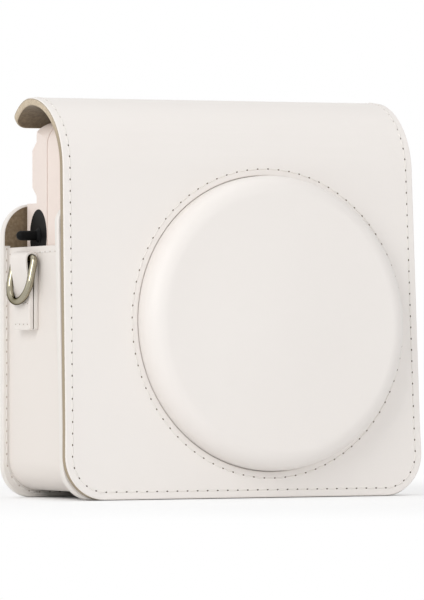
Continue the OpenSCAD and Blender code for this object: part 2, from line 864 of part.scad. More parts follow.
// Lens of the viewfinder
module eyepiece() {
  z = (bump_low + bump_high) / 2;
  color("lightcyan") intersection() {
    along_y(bump_back - cam_wall, bump_back + 1)
      translate([finder_x, z]) round_rect(finder_w - 2 * seat, finder_h - 2 * seat, 1.5 - seat);
    along_x(-far, far) translate([bump_back + 0.3 - 30, z]) circle(30, $fn = 128);
  }
}

// Reflector behind the flash window, with a hole at each end for the tube
module flash_reflector() {
  y = window_u * tan_lean + (cam_y + cam_wall) / cos_lean + 0.7;
  r = front_roller[0] - roller_r - 0.3 - y;
  color("gainsboro") difference() {
    along_x(flash_x - flash_w / 2, flash_x + flash_w / 2) intersection() {
      translate([y, window_u]) circle(r);
      translate([y, 0]) square(far);
    }
    along_x(flash_x - flash_w / 2 + 0.8, flash_x + flash_w / 2 - 0.8) translate([y, window_u]) circle(r - 0.6);
    rod_x([y + 1.8, window_u], 1.2 + run, -far, far);
  }
}

// Flash tube
module flash_tube() {
  y = window_u * tan_lean + (cam_y + cam_wall) / cos_lean + 2.5;
  color("white") rod_x([y, window_u], 1.2, flash_x - flash_w / 2 - 1, flash_x + flash_w / 2 + 1);
}

// Fixed tube that carries the ring outside and the barrel inside
module lens_mount() {
  bore = barrel_r + run;
  color("gray") difference() {
    union() {
      rod_y(lens_x, lens_z, bore + mount_t, mount_y, mount_flange_y + 1.5);
      rod_y(lens_x, lens_z, ring_r + 1, mount_flange_y, mount_flange_y + 1.5);
    }
    rod_y(lens_x, lens_z, bore, -far, far);
  }
}

// Twist ring with finger grooves
module lens_ring() {
  grooves = 36;
  color("linen") difference() {
    rod_y(lens_x, lens_z, ring_r, mount_y, boss_y - 0.3);
    rod_y(lens_x, lens_z, barrel_r + mount_t + 2 * run, -far, far);
    for (i = [0:grooves - 1])
      rod_y(lens_x + (ring_r + 0.5) * cos(i * 360 / grooves), lens_z + (ring_r + 0.5) * sin(i * 360 / grooves),
        1.1, mount_y + 1.5, boss_y - 1.5);
  }
}

// Sliding barrel: outer tube, front plate dished to the lens, inner cell
module lens_barrel() {
  color("whitesmoke") translate([lens_x, 0, lens_z]) rotate([90, 0, 0]) rotate_extrude() {
    translate([barrel_r - barrel_t, -barrel_back]) square([barrel_t, barrel_back - barrel_y]);
    polygon([
      [glass_r + run, -barrel_y - 4], [barrel_r - 0.6, -barrel_y - 4], [barrel_r - 0.6, -barrel_y],
      [glass_r + 6, -barrel_y], [glass_r + run, -barrel_y - 2.4]
    ]);
    translate([glass_r + run, -cell_back]) square([cell_t, cell_back - barrel_y - 2.6]);
  }
}

// Front lens, bowed forward
module front_lens() {
  color("lightblue") translate([lens_x, 0, lens_z]) rotate([90, 0, 0]) rotate_extrude() intersection() {
    translate([0, -barrel_y - 3.4]) square([glass_r, 4]);
    translate([0, -barrel_y - 0.7 - 34]) circle(34, $fn = 128);
  }
}

// Rear lens, at the back of the cell
module rear_lens() {
  color("lightblue") translate([lens_x, 0, lens_z]) rotate([90, 0, 0]) rotate_extrude() intersection() {
    translate([0, 0.1 - cell_back]) square([glass_r, 3]);
    translate([0, 2.7 - cell_back - 40]) circle(40, $fn = 128);
  }
}

// Small round mirror on the barrel's front
module selfie_mirror() {
  color("silver") translate([lens_x + mirror_at[0], barrel_y - seat, lens_z + mirror_at[1]])
    rotate([90, 0, 0]) rotate_extrude() intersection() {
      square([mirror_r, 1.1]);
      translate([0, 1 - 16]) circle(16, $fn = 128);
    }
}

// Plate behind the cell that carries the shutter blade
module shutter_plate() {
  color("black") {
    difference() {
      rod_y(lens_x, lens_z, barrel_r - barrel_t - run, cell_back + seat, cell_back + 1);
      rod_y(lens_x, lens_z, aperture_r, 0, far);
    }
    rod_y(lens_x + blade_pivot, lens_z, 1.2, cell_back + 0.5, barrel_back - 0.4);
  }
}

// Shutter blade on its pivot
module shutter_blade() {
  color("dimgray") along_y(cell_back + 1.4, cell_back + 1.9) difference() {
    union() {
      translate([lens_x, lens_z]) circle(aperture_r + 1.6);
      translate([lens_x, lens_z - 2.5]) square([blade_pivot, 5]);
      translate([lens_x + blade_pivot, lens_z]) circle(3.2);
    }
    translate([lens_x + blade_pivot, lens_z]) circle(1.2 + run);
  }
}

// Dark box between the lens and the film
module exposure_chamber() {
  half = aperture / 2 + 2.5;
  color("black") difference() {
    box([lens_x - half, chamber_y, lens_z - half], [lens_x + half, chassis_y - seat, lens_z + half]);
    box([lens_x - half + 1.4, chamber_y + 1.4, lens_z - half + 1.4], [lens_x + half - 1.4, far, lens_z + half - 1.4]);
    rod_y(lens_x, lens_z, barrel_r - 4, 0, far);
  }
}

// Inner frame: plate with the picture aperture and the side walls of the film room
module film_chassis() {
  low = pack_low;
  color("black") difference() {
    union() {
      box([lens_x - chassis_half, chassis_y, low], [lens_x + chassis_half, chassis_y + chassis_t, ledge_z - 4]);
      for (x = [lens_x - chassis_half, lens_x + chassis_half - 1.2])
        box([x, chassis_y, low], [x + 1.2, pack_back, ledge_z - 4]);
    }
    box([lens_x - aperture / 2, 0, lens_z - aperture / 2], [lens_x + aperture / 2, far, lens_z + aperture / 2]);
  }
}

// Film pack: open frame in front, slit on top for the film
module film_pack() {
  half = pack_w / 2;
  color("darkslategray") difference() {
    box([lens_x - half, pack_y, pack_low], [lens_x + half, pack_back, pack_top]);
    box([lens_x - half + 1.2, film_y - 0.1, pack_low + 1.2], [lens_x + half - 1.2, pack_back - 1.2, pack_top - 1.2]);
    box([lens_x - aperture / 2, 0, lens_z - aperture / 2], [lens_x + aperture / 2, film_y, lens_z + aperture / 2]);
    box([lens_x - film_w / 2 - 0.6, film_y - 0.1, pack_top - 2], [lens_x + film_w / 2 + 0.6, film_y + 0.7, far]);
  }
}

// Sheets of film on the spring plate of the pack
module film_stack() {
  color("dimgray") box([lens_x - film_w / 2, film_y, pack_low + 1.4],
    [lens_x + film_w / 2, film_y + 3, pack_low + 1.4 + min(film_h, pack_top - pack_low - 2.8)]);
  color("silver") box([lens_x - film_w / 2, film_y + 3, pack_low + 1.4],
    [lens_x + film_w / 2, pack_back - 1.3, pack_low + 1.4 + 2]);
}

// Roller with its shaft and gear
module roller(at, phase, r) {
  rod_x(at, r, lens_x - roller_half, lens_x + roller_half);
  rod_x(at, shaft_r, pitch_1 - gear_w, plate_right + plate_t);
  gear(at, roller_teeth, phase, pitch_1);
}
module drive_roller() { color("silver") roller(rear_roller, rear_phase, roller_r); }
module pinch_roller() { color("silver") roller(front_roller, front_phase, roller_r); }

// Double gear on its own arbor
module double_gear(at, small, small_x, small_phase, big, big_x, big_phase) {
  gear(at, small, small_phase, small_x);
  gear(at, big, big_phase, big_x);
  rod_x(at, arbor_r, gear_plate_x - plate_t, plate_left);
}
module first_gear() {
  color("gold") double_gear(first_at, first_small, pitch_1, first_phase, first_big, pitch_2, first_phase);
}
module second_gear() {
  color("gold") double_gear(second_at, second_small, pitch_2, second_phase, second_big, pitch_3, second_phase);
}

// Pinion on the motor's shaft
module motor_pinion() {
  color("gold") {
    gear(motor_at, pinion_teeth, pinion_phase, pitch_3);
    rod_x(motor_at, 0.75, gear_plate_x - plate_t - 1, pitch_3);
  }
}

// Motor that drives the rollers
module drive_motor() {
  face = gear_plate_x - plate_t - seat;
  back = -cam_w / 2 + cam_wall + 1.6;
  color("silver") difference() {
    union() {
      rod_x(motor_at, motor_r, back, face - 0.4);
      rod_x(motor_at, 3, face - 0.6, face);
    }
    rod_x(motor_at, 0.75 + run, face - 2, far);
  }
}

// Bearing plate of both rollers
module roller_plate(x) {
  color("gray") difference() {
    along_x(x, x + plate_t) translate([film_y, 0])
      plate(7.4, second_at[1] - 4, roller_z + 4.5, 2, 2);
    for (at = [rear_roller, front_roller]) rod_x(at, shaft_r + run, -far, far);
    for (at = [first_at, second_at]) rod_x(at, arbor_r + run, -far, far);
  }
}
module roller_plate_left() { roller_plate(plate_left - plate_t); }
module roller_plate_right() { roller_plate(plate_right); }

// Outer bearing plate of the gears, with the motor screwed to it
module gear_plate() {
  mid = (motor_at[0] + first_at[0]) / 2;
  color("gray") difference() {
    along_x(gear_plate_x - plate_t, gear_plate_x) translate([mid, 0])
      plate(7, motor_at[1] - 7, first_at[1] + 2.6, 2, 2);
    for (at = [first_at, second_at]) rod_x(at, arbor_r + run, -far, far);
    rod_x(motor_at, 0.75 + 4 * run, -far, far);
  }
}

// Tray for the two cells, open to the battery door
module battery_box() {
  low = battery_low + 1;
  high = battery_top - 1;
  color("dimgray") difference() {
    box([cell_x - box_in - box_t, box_y, low], [cell_x + box_in + box_t, door_in - 0.3, high]);
    box([cell_x - box_in, box_y + box_t, low + box_t], [cell_x + box_in, far, high - box_t]);
  }
}

// Two cells, one on the other
module battery_cells() {
  low = battery_low + 1 + box_t + 0.7;
  color("orange") for (i = [0, 1]) translate([cell_x, cell_y, low + i * (cell_len + 0.6)]) {
    cylinder(r = cell_r, h = cell_len - 1.2);
    cylinder(r = 3, h = cell_len);
  }
}

// Contact plates at both ends of the tray
module battery_contacts() {
  low = battery_low + 1 + box_t;
  high = battery_top - 1 - box_t;
  color("silver") {
    translate([cell_x - 6, cell_y - 6, low + seat]) cube([12, 12, 0.5]);
    translate([cell_x - 6, cell_y - 6, high - seat - 0.5]) cube([12, 12, 0.5]);
    translate([cell_x, cell_y, low + 2 * cell_len + 1.5])
      cylinder(r1 = 2, r2 = 4.5, h = high - seat - 0.3 - low - 2 * cell_len - 1.5);
  }
}

// Shutter button with its collar and stem
module shutter_button() {
  face = (cam_y + button_z * tan_lean) - 1.7;
  collar = (cam_y + cam_wall) / cos_lean + (button_z + button_r + 1.3) * tan_lean + 0.3;
  color("gainsboro") translate([button_x, 0, button_z]) rotate([90, 0, 0]) rotate_extrude() {
    difference() {
      translate([0, -collar - 1]) square([button_r, collar + 1 - face]);
      translate([0, -face + 38.6]) circle(39.4, $fn = 128);
    }
    translate([0, -collar - 1]) square([button_r + 1.2, 1]);
    translate([0, -board_y + 6.3]) square([2.4, board_y - 6.3 - collar]);
  }
}

// Board with the switch behind the shutter button
module circuit_board() {
  left = -cam_w / 2 + cam_wall + 2;
  color("darkgreen") box([left, board_y, cam_z + 4], [battery_edge + 0.4, board_y + board_t, button_z + 4.5]);
  color("black") {
    box([button_x - 3, board_y - 3.5, button_z - 3], [button_x + 3, board_y, button_z + 3]);
    rod_y(button_x, button_z, 1.6, board_y - 4.7, board_y - 3.4);
  }
}

// Storage capacitor of the flash
module flash_capacitor() {
  r = 5;
  color("midnightblue") translate([-42, board_y - 0.25 - r, cam_z + 8]) cylinder(r = r, h = 32);
}

// Frame counter's dial on its post
module counter_dial() {
  color("white") difference() {
    rod_y(dial_x, dial_z, dial_r, dial_y, dial_y + 1.6);
    rod_y(dial_x, dial_z, 1.5 + run, 0, far);
    for (i = [0:9])
      rod_y(dial_x + (dial_r - 1.6) * cos(i * 36), dial_z + (dial_r - 1.6) * sin(i * 36), 0.6, dial_y + 1.2, far);
  }
}

// Pane over the dial
module counter_window() {
  color("lightcyan") along_y(cam_back - cam_wall, cam_back - 0.3)
    translate([dial_x, dial_z + dial_r - 3]) round_rect(7.5 - 2 * seat, 4.5 - 2 * seat, 1 - seat);
}

translate([0, -origin_y, 0]) {
  case_back();
  case_gusset();
  case_front();
  hinge_tongue();
  snap_caps();
  snap_studs();
  clasp_plates();
  strap_tab_left();
  strap_tab_right();
  d_ring_left();
  d_ring_right();
  cover_panel();
  lens_dome();
  clasp_magnets();
  front_shell();
  rear_shell();
  strap_lug_left();
  strap_lug_right();
  viewfinder_window();
  viewfinder_tube();
  eyepiece();
  flash_window();
  flash_reflector();
  flash_tube();
  sensor_windows();
  lens_mount();
  lens_ring();
  lens_barrel();
  front_lens();
  rear_lens();
  selfie_mirror();
  shutter_plate();
  shutter_blade();
  exposure_chamber();
  film_chassis();
  film_pack();
  film_stack();
  drive_roller();
  pinch_roller();
  first_gear();
  second_gear();
  motor_pinion();
  drive_motor();
  roller_plate_left();
  roller_plate_right();
  gear_plate();
  film_door();
  film_door_pin();
  film_door_latch();
  pressure_springs();
  battery_box();
  battery_cells();
  battery_contacts();
  battery_door();
  battery_door_pin();
  shutter_button();
  circuit_board();
  flash_capacitor();
  counter_dial();
  counter_window();
}
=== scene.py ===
# %% [markdown]
# # A stitched leather case with an instant camera in it
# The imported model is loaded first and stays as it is: it holds every rigid piece at its real size.
# Leather is the exception. A plain solid of leather looks like board, so each leather piece is cut
# again here as a flat sheet with soft edges, bent to its place, and sewn.

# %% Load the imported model
import json
import math

import bpy
import numpy as np
from mathutils import Matrix, Vector


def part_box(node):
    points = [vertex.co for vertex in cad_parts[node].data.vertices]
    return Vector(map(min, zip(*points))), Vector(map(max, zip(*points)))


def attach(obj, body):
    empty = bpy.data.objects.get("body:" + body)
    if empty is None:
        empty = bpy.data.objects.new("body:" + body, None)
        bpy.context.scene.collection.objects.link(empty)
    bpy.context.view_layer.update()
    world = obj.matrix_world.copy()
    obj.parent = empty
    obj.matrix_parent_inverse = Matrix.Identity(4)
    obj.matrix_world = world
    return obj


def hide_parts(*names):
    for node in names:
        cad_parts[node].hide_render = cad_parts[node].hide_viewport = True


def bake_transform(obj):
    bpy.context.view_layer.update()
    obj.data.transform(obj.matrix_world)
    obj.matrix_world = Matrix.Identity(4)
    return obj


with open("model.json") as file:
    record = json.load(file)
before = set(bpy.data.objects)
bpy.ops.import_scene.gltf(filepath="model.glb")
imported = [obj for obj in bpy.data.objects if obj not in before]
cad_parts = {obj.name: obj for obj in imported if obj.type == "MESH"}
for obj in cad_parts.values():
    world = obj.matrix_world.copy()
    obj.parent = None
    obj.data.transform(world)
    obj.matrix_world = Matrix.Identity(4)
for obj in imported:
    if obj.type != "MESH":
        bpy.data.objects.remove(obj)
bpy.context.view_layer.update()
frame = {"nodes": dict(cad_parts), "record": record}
nodes = frame["nodes"]
MM = 0.001
MICRON = 0.001 * MM
SIDES = ((-1, "left"), (1, "right"))

# %% [markdown]
# ## Sizes
# The sheets have to land on the solids, so they share a few driving sizes with them, in
# millimetres. Depth is measured from the foot of the cover's front face, which leans back a little.
# `FIT` is the gap between the cover and the front wall. The clasp's discs lie flush in the leather,
# and two faces in one plane flicker, so that leather is thinner by `DISC_PROUD`.

# %% Sizes of the case
LEAN = math.radians(2.55)
COVER_T = 2.6
WALL_T = 2.5
GUSSET_T = 2.0
FIT = 0.3
DISC_PROUD = 0.05
CASE_DEPTH = 49.0
COVER_HALF = 66.1
COVER_TAPER = 1.5
COVER_HIGH = 130.0
COVER_CORNER = 14.0
HOOD_R = 24.0
HOOD_REAR_R = 20.0
HOOD_END = math.radians(54)
HOOD_CORNER = 5.0
HOOD_DRAW = 1.2
WALL_HALF = 65.3
WALL_HIGH = 95.7
WALL_CORNER = 10.5
GUSSET_HALF = 63.3
GUSSET_LOW = 2.4
GUSSET_HIGH = 82.0
LENS_X = 9.4
LENS_U = 56.8 / math.cos(LEAN)
DOME_R = 48.1
front_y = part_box("case_back")[1].y / MM - CASE_DEPTH
hood_z = COVER_HIGH - HOOD_R
hood_y = (HOOD_R + hood_z * math.sin(LEAN)) / math.cos(LEAN)
hood_rear_z = COVER_HIGH - HOOD_REAR_R
print("front of the cover stands at", round(front_y, 2), "mm")

# %% [markdown]
# Two helpers turn a place on the case into metres in the shared frame, from plain depth and height
# or from both along the leaning front. They take whole arrays of points, because a sheet is bent by
# moving all its points at once.

# %% Places in the shared frame
def to_frame(x, y, z):
    """Millimetres from the cover's foot, as metres in the shared frame."""
    x, y, z = np.broadcast_arrays(x, y, z)
    return np.stack([x, y + front_y, z], axis=-1) * MM


def leaning(x, depth, height):
    """A point given by its depth behind the leaning front and its height along it."""
    y = depth * math.cos(LEAN) + height * math.sin(LEAN)
    z = height * math.cos(LEAN) - depth * math.sin(LEAN)
    return to_frame(x, y, z)


print("middle of the lens at", leaning(LENS_X, 0.0, LENS_U).round(4))

# %% [markdown]
# ## Writing materials as sums
# A material is a net of nodes. Wiring it by hand hides the idea, so one small class wraps a socket:
# adding or multiplying two wires adds the Math node for it, and `node` makes any other kind.

# %% A wire that can be added and multiplied
class Wire:
    """One output socket of a material, usable in Python sums."""

    def __init__(self, tree, socket):
        self.tree = tree
        self.socket = socket

    def node(self, kind, settings=None, inputs=None, output=0):
        made = self.tree.nodes.new(kind)
        for key, value in (settings or {}).items():
            setattr(made, key, value)
        for key, value in (inputs or {}).items():
            if isinstance(value, Wire):
                self.tree.links.new(value.socket, made.inputs[key])
            else:
                made.inputs[key].default_value = value
        return Wire(self.tree, made.outputs[output])

    def math(self, operation, *values):
        return self.node("ShaderNodeMath", {"operation": operation}, dict(enumerate(values)))

    def __add__(self, other):
        return self.math("ADD", self, other)

    def __rsub__(self, other):
        return self.math("SUBTRACT", other, self)

    def __mul__(self, other):
        return self.math("MULTIPLY", self, other)

    def __abs__(self):
        return self.math("ABSOLUTE", self)

    __radd__ = __add__
    __rmul__ = __mul__

    def blend(self, low, high):
        """Colour low where the wire is 0, colour high where it is 1."""
        low, high = (c if isinstance(c, Wire) else (*c, 1) for c in (low, high))
        return self.node("ShaderNodeMix", {"data_type": "RGBA"}, {0: self, 6: low, 7: high}, 2)

    def smooth(self, low, high):
        """0 below low, 1 above high and a soft step between."""
        inputs = {"Value": self, "From Min": low, "From Max": high}
        return self.node("ShaderNodeMapRange", {"interpolation_type": "SMOOTHSTEP"}, inputs)


print("a wire takes +, * and abs(), and can be taken from a number")

# %% [markdown]
# A finish is one Principled shader. What is the same all over a piece is set on its sockets, and
# what varies is fed to them. Patterns are read in the piece's own coordinates, in metres, so a
# scale of 1000 is about one lump to a millimetre.

# %% A finish and what feeds it
class Finish:
    """A material with one Principled shader, and shorthand for what feeds it."""

    def __init__(self, name, colour, roughness, **constants):
        self.material = bpy.data.materials.new(name)
        self.material.use_nodes = True
        tree = self.material.node_tree
        self.shader = tree.nodes["Principled BSDF"]
        self.shader.inputs["Base Color"].default_value = (*colour, 1)
        self.shader.inputs["Roughness"].default_value = roughness
        for key, value in constants.items():
            self.shader.inputs[key.replace("_", " ")].default_value = value
        self.start = Wire(tree, self.shader.outputs[0])
        self.place = self.start.node("ShaderNodeTexCoord", output="Object")

    def feed(self, socket, wire):
        wire.tree.links.new(wire.socket, self.shader.inputs[socket])

    def axis(self, name):
        """One coordinate of the surface, in metres."""
        return self.start.node("ShaderNodeSeparateXYZ", None, {"Vector": self.place}, name)

    def noise(self, scale, detail=3.0, stretch=(1, 1, 1)):
        """Cloudy noise with about `scale` lumps to a metre."""
        placing = {"Vector": self.place, "Scale": stretch}
        mapped = self.start.node("ShaderNodeMapping", None, placing)
        inputs = {"Vector": mapped, "Scale": scale, "Detail": detail}
        return self.start.node("ShaderNodeTexNoise", None, inputs)

    def cells(self, scale):
        """Distance to the nearest of about `scale` points to a metre, for grain and pores."""
        inputs = {"Vector": self.place, "Scale": scale}
        return self.start.node("ShaderNodeTexVoronoi", {"feature": "SMOOTH_F1"}, inputs)

    def bump(self, height, depth, strength):
        """Relief of the given depth in metres."""
        inputs = {"Height": height, "Distance": depth, "Strength": strength}
        self.feed("Normal", self.start.node("ShaderNodeBump", None, inputs))


def shade(colour, share):
    """A darker or paler tone of a colour."""
    return tuple(share * c for c in colour)


print("a finish takes noise, cells and bump")

# %% [markdown]
# ## Leather, lining and thread
# The outside is a smooth coated leather: ivory, almost without grain, with faint streaks from the
# press rollers. A true grain of small cells only shows in the gloss, so it goes into the bump and
# the roughness, and the colour hardly moves.

# %% Coated leather
def coated_leather(name, colour, deeper):
    finish = Finish(name, colour, 0.46, Specular_IOR_Level=0.42)
    clouds = finish.noise(24, detail=2)
    finish.feed("Base Color", clouds.blend(colour, deeper))
    streaks = finish.noise(620, detail=4, stretch=(0.22, 0.6, 1.3))
    pores = finish.cells(1900)
    finish.feed("Roughness", 0.41 + 0.1 * streaks)
    finish.bump(0.6 * streaks + 0.4 * pores, 60 * MICRON, 0.5)
    return finish.material


IVORY = coated_leather("ivory_leather", (0.838, 0.802, 0.770), (0.822, 0.779, 0.745))
BLUSH = coated_leather("gusset_leather", (0.818, 0.768, 0.722), (0.803, 0.747, 0.700))
TURNED = coated_leather("turned_edge", (0.822, 0.785, 0.745), (0.795, 0.755, 0.71))
print("coated leathers:", IVORY.name, BLUSH.name, TURNED.name)

# %% [markdown]
# The inside is lined with a brown napped cloth. Hair strands would be far too many, so sheen gives
# the soft rim of the nap and two noises give its fibre and its patches. Its colour is darkened in
# the middle of the case as painted shade, where the hood's inside lies deep in shadow, and not near
# the sides.

# %% Suede lining
# Distance from the middle in metres over which the painted shade inside the case fades out.
PAINTED_SHADE_FADE = (0.045, 0.064)


def suede(name, colour, deeper):
    finish = Finish(name, colour, 0.95, Sheen_Weight=0.25, Sheen_Roughness=0.5)
    nap = finish.noise(900, detail=5)
    patches = finish.noise(60)
    brushed = (0.5 * nap + 0.5 * patches).smooth(0.3, 0.7).blend(deeper, colour)
    # Painted shade: the lining is darkened in the middle of the case, where the hood's inside is in
    # shadow, and keeps its colour near the sides.
    out_of_painted_shade = abs(finish.axis("X")).smooth(*PAINTED_SHADE_FADE)
    finish.feed("Base Color", out_of_painted_shade.blend(shade(deeper, 0.6), brushed))
    finish.bump(nap, 250 * MICRON, 0.6)
    return finish.material


LINING = suede("suede_lining", (0.29, 0.218, 0.135), (0.155, 0.108, 0.06))
print("lining:", LINING.name)

# %% [markdown]
# Where the leather is cut, its layers show: coated skin, a line of glue and pressed fibre. They
# follow the sheet wherever it bends, so the sheet carries its own depth as an attribute, from 0 on
# the good side to 1 on the lining.

# %% Cut edges
HOOD_REACH = (0.112, 0.127)
# Share of the backing's colour that the cut edge has below the hood.
DARKER_BELOW_HOOD = 0.78
SKIN_END = (0.17, 0.22)
GLUE_START = (0.18, 0.22)
GLUE_END = (0.24, 0.30)
SKIN = (0.80, 0.755, 0.70)
GLUE = (0.30, 0.245, 0.175)


def raw_edge(name, colour, deeper):
    """Cut edge, whose backing is darker below the hood than up on it."""
    finish = Finish(name, colour, 0.82)
    fibre = finish.noise(1500, detail=4)
    layers = finish.noise(300, stretch=(1, 6, 1))
    depth = finish.start.node("ShaderNodeAttribute", {"attribute_name": "depth"}, output="Fac")
    waver = depth + 0.08 * fibre
    mottled = (0.6 * fibre + 0.4 * layers).smooth(0.3, 0.72).blend(deeper, colour)
    # The backing is made darker below the hood than up on it.
    backing = finish.axis("Z").smooth(*HOOD_REACH).blend(shade(deeper, DARKER_BELOW_HOOD), mottled)
    covered = (1 - waver.smooth(*SKIN_END)).blend(backing, SKIN)
    line = waver.smooth(*GLUE_START) * (1 - waver.smooth(*GLUE_END))
    finish.feed("Base Color", line.blend(covered, GLUE))
    finish.bump(fibre, 120 * MICRON, 0.6)
    return finish.material


RAW = raw_edge("raw_edge", (0.68, 0.575, 0.44), (0.49, 0.40, 0.285))
print("cut edge:", RAW.name)

# %% [markdown]
# The thread has almost the colour of the leather, so the seams show by their needle holes. A hole
# is a dark dot on the front, and paler where the thread fills it or where the coat has closed it
# over the bend of the hood.

# %% Thread and needle holes
COATED_OVER = (0.66, 0.62, 0.575)


def sewing_thread():
    finish = Finish("sewing_thread", (0.82, 0.785, 0.745), 0.7, Sheen_Weight=0.2)
    twist = finish.noise(3200, detail=2)
    finish.feed("Base Color", twist.blend((0.78, 0.74, 0.695), (0.85, 0.82, 0.785)))
    finish.bump(twist, 50 * MICRON, 0.5)
    return finish.material


def needle_hole(name, colour):
    """Shadow in a needle hole, or up on the hood the coat that has closed it."""
    finish = Finish(name, colour, 0.9)
    shadow = finish.noise(1500, detail=2).blend(colour, shade(colour, 1.6))
    finish.feed("Base Color", finish.axis("Z").smooth(*HOOD_REACH).blend(shadow, COATED_OVER))
    return finish.material


THREAD = sewing_thread()
HOLE = needle_hole("needle_hole", (0.085, 0.066, 0.05))
SOFT_HOLE = needle_hole("soft_needle_hole", (0.16, 0.13, 0.105))
FAINT_HOLE = needle_hole("faint_needle_hole", (0.42, 0.37, 0.325))
print("sewing:", THREAD.name, HOLE.name, SOFT_HOLE.name, FAINT_HOLE.name)

# %% [markdown]
# ## Cutting leather
# A sheet starts as a flat outline. A filled 2D curve is the quickest knife: it takes holes, it has
# thickness, and its bevel rounds the cut edge. It becomes a mesh, is sliced where it has to bend,
# and each point is then laid where the case has it. On the flat piece x and y run over the sheet
# and z is 0 on the good side.

# %% Knife
WELD = 0.002


def only(piece):
    """Deselects everything else, because an operator acts on all that is selected."""
    bpy.ops.object.select_all(action="DESELECT")
    piece.select_set(True)
    bpy.context.view_layer.objects.active = piece


def add_object(name, data):
    piece = bpy.data.objects.new(name, data)
    bpy.context.collection.objects.link(piece)
    return piece


def edit_all(piece):
    only(piece)
    bpy.ops.object.mode_set(mode="EDIT")
    bpy.ops.mesh.select_all(action="SELECT")


def close_mesh(piece):
    """Welds doubled points and turns all faces outwards."""
    edit_all(piece)
    bpy.ops.mesh.remove_doubles(threshold=WELD)
    bpy.ops.mesh.normals_make_consistent(inside=False)
    bpy.ops.object.mode_set(mode="OBJECT")


def draw_ring(curve, points):
    """Adds a closed line of points to a curve."""
    spline = curve.splines.new("POLY")
    spline.points.add(len(points) - 1)
    spline.use_cyclic_u = True
    for point, place in zip(spline.points, points):
        point.co = (*place, 1)


def cut_sheet(name, rings, thickness, edge):
    """A flat sheet inside the first ring and outside the others, with rounded edges."""
    curve = bpy.data.curves.new(name, "CURVE")
    curve.dimensions = "2D"
    curve.fill_mode = "BOTH"
    curve.extrude = thickness / 2 - edge
    curve.bevel_depth = edge
    curve.bevel_resolution = 2
    for ring in rings:
        draw_ring(curve, [(u, v, 0) for u, v in ring])
    piece = add_object(name, curve)
    only(piece)
    bpy.ops.object.convert(target="MESH")
    piece.data.transform(Matrix.Translation((0, 0, -thickness / 2)))
    close_mesh(piece)
    return piece


print("the knife welds points closer than", WELD, "mm")

# %% [markdown]
# A flat sheet has points only along its outline, so rows are cut across it where it is going to
# bend. While it is still flat, the way a face looks tells the good side, the lining and the cut
# edge apart, so the materials are given then.

# %% Slices and sides
GOOD_FACES = 0.6
LINED_FACES = -0.97


def slice_sheet(piece, places, axis):
    """Cuts rows across the flat sheet, so that it has points to bend at."""
    edit_all(piece)
    normal = [float(i == axis) for i in range(3)]
    for place in places:
        bpy.ops.mesh.select_all(action="SELECT")
        bpy.ops.mesh.bisect(plane_co=[place * n for n in normal], plane_no=normal)
    bpy.ops.object.mode_set(mode="OBJECT")


def dress(piece, good, lining, rim):
    """Gives good side, lining and cut edge their materials, and every point its depth."""
    for material in (good, lining, rim):
        piece.data.materials.append(material)
    for face in piece.data.polygons:
        up = face.normal.z
        face.material_index = 0 if up > GOOD_FACES else 1 if up < LINED_FACES else 2
    heights = np.array([v.co.z for v in piece.data.vertices])
    depth = piece.data.attributes.new("depth", "FLOAT", "POINT")
    depth.data.foreach_set("value", heights / heights.min())


print("good side above", GOOD_FACES, "and lining below", LINED_FACES)

# %% [markdown]
# Bending could be done with modifiers, one for each bend, but they stretch the sheet. Here a piece
# has one function that says where a point of the flat sheet lies on the case, and the sheet and its
# seams use the same one, so they always fit.

# %% Bending
SOFT_ANGLE = math.radians(40)


def smooth(piece):
    """Soft shading that leaves the broad faces flat."""
    only(piece)
    bpy.ops.object.shade_smooth_by_angle(angle=SOFT_ANGLE)
    weighted = piece.modifiers.new("weighted", "WEIGHTED_NORMAL")
    weighted.keep_sharp = True
    bpy.ops.object.modifier_apply(modifier=weighted.name)


def lay(piece, place):
    """Moves every point of a flat sheet to its place on the case."""
    flat = np.empty(len(piece.data.vertices) * 3)
    piece.data.vertices.foreach_get("co", flat)
    laid = place(*flat.reshape(-1, 3).T)
    piece.data.vertices.foreach_set("co", laid.ravel())
    edit_all(piece)
    bpy.ops.mesh.normals_make_consistent(inside=False)
    bpy.ops.object.mode_set(mode="OBJECT")
    smooth(piece)


def finish_piece(piece, body, slot, *stands_for):
    """Lets a finished piece ride on its body, in place of the plain solids."""
    if stands_for:
        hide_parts(*stands_for)
    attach(piece, body)
    print(piece.name, len(piece.data.polygons), "faces on", body)


print("edges sharper than", round(math.degrees(SOFT_ANGLE)), "degrees stay sharp")

# %% [markdown]
# Outlines are drawn from round corners, as a pattern cutter draws them. A seam lies a little inside
# an outline, so the same outline is drawn in for it.

# %% Outlines
def arc(u, v, r, start, end, count):
    """Points on a round stretch, angles in degrees."""
    angles = np.radians(np.linspace(start, end, count))
    return [(u + r * math.cos(a), v + r * math.sin(a)) for a in angles]


def circle(u, v, r, count=96):
    return arc(u, v, r, 0, 360 - 360 / count, count)


def round_plate(half, low, high, r_low, r_high):
    """Outline of a wall with its own corner radii below and above."""
    return [
        *arc(half - r_low, low + r_low, r_low, -90, 0, 14),
        *arc(half - r_high, high - r_high, r_high, 0, 90, 14),
        *arc(r_high - half, high - r_high, r_high, 90, 180, 14),
        *arc(r_low - half, low + r_low, r_low, 180, 270, 14),
    ]


def inset_ring(ring, distance):
    """The same closed outline drawn in by a distance."""
    points = np.array(ring)
    after = np.roll(points, -1, axis=0)
    along = after - np.roll(points, 1, axis=0)
    along /= np.linalg.norm(along, axis=1)[:, None]
    area = np.sum(points[:, 0] * after[:, 1] - points[:, 1] * after[:, 0])
    inward = np.stack([-along[:, 1], along[:, 0]], axis=1) * np.sign(area)
    return points + inward * distance


def run_along(line):
    """Distance of each point of a line from its start."""
    return np.concatenate([[0], np.cumsum(np.linalg.norm(np.diff(line, axis=0), axis=1))])


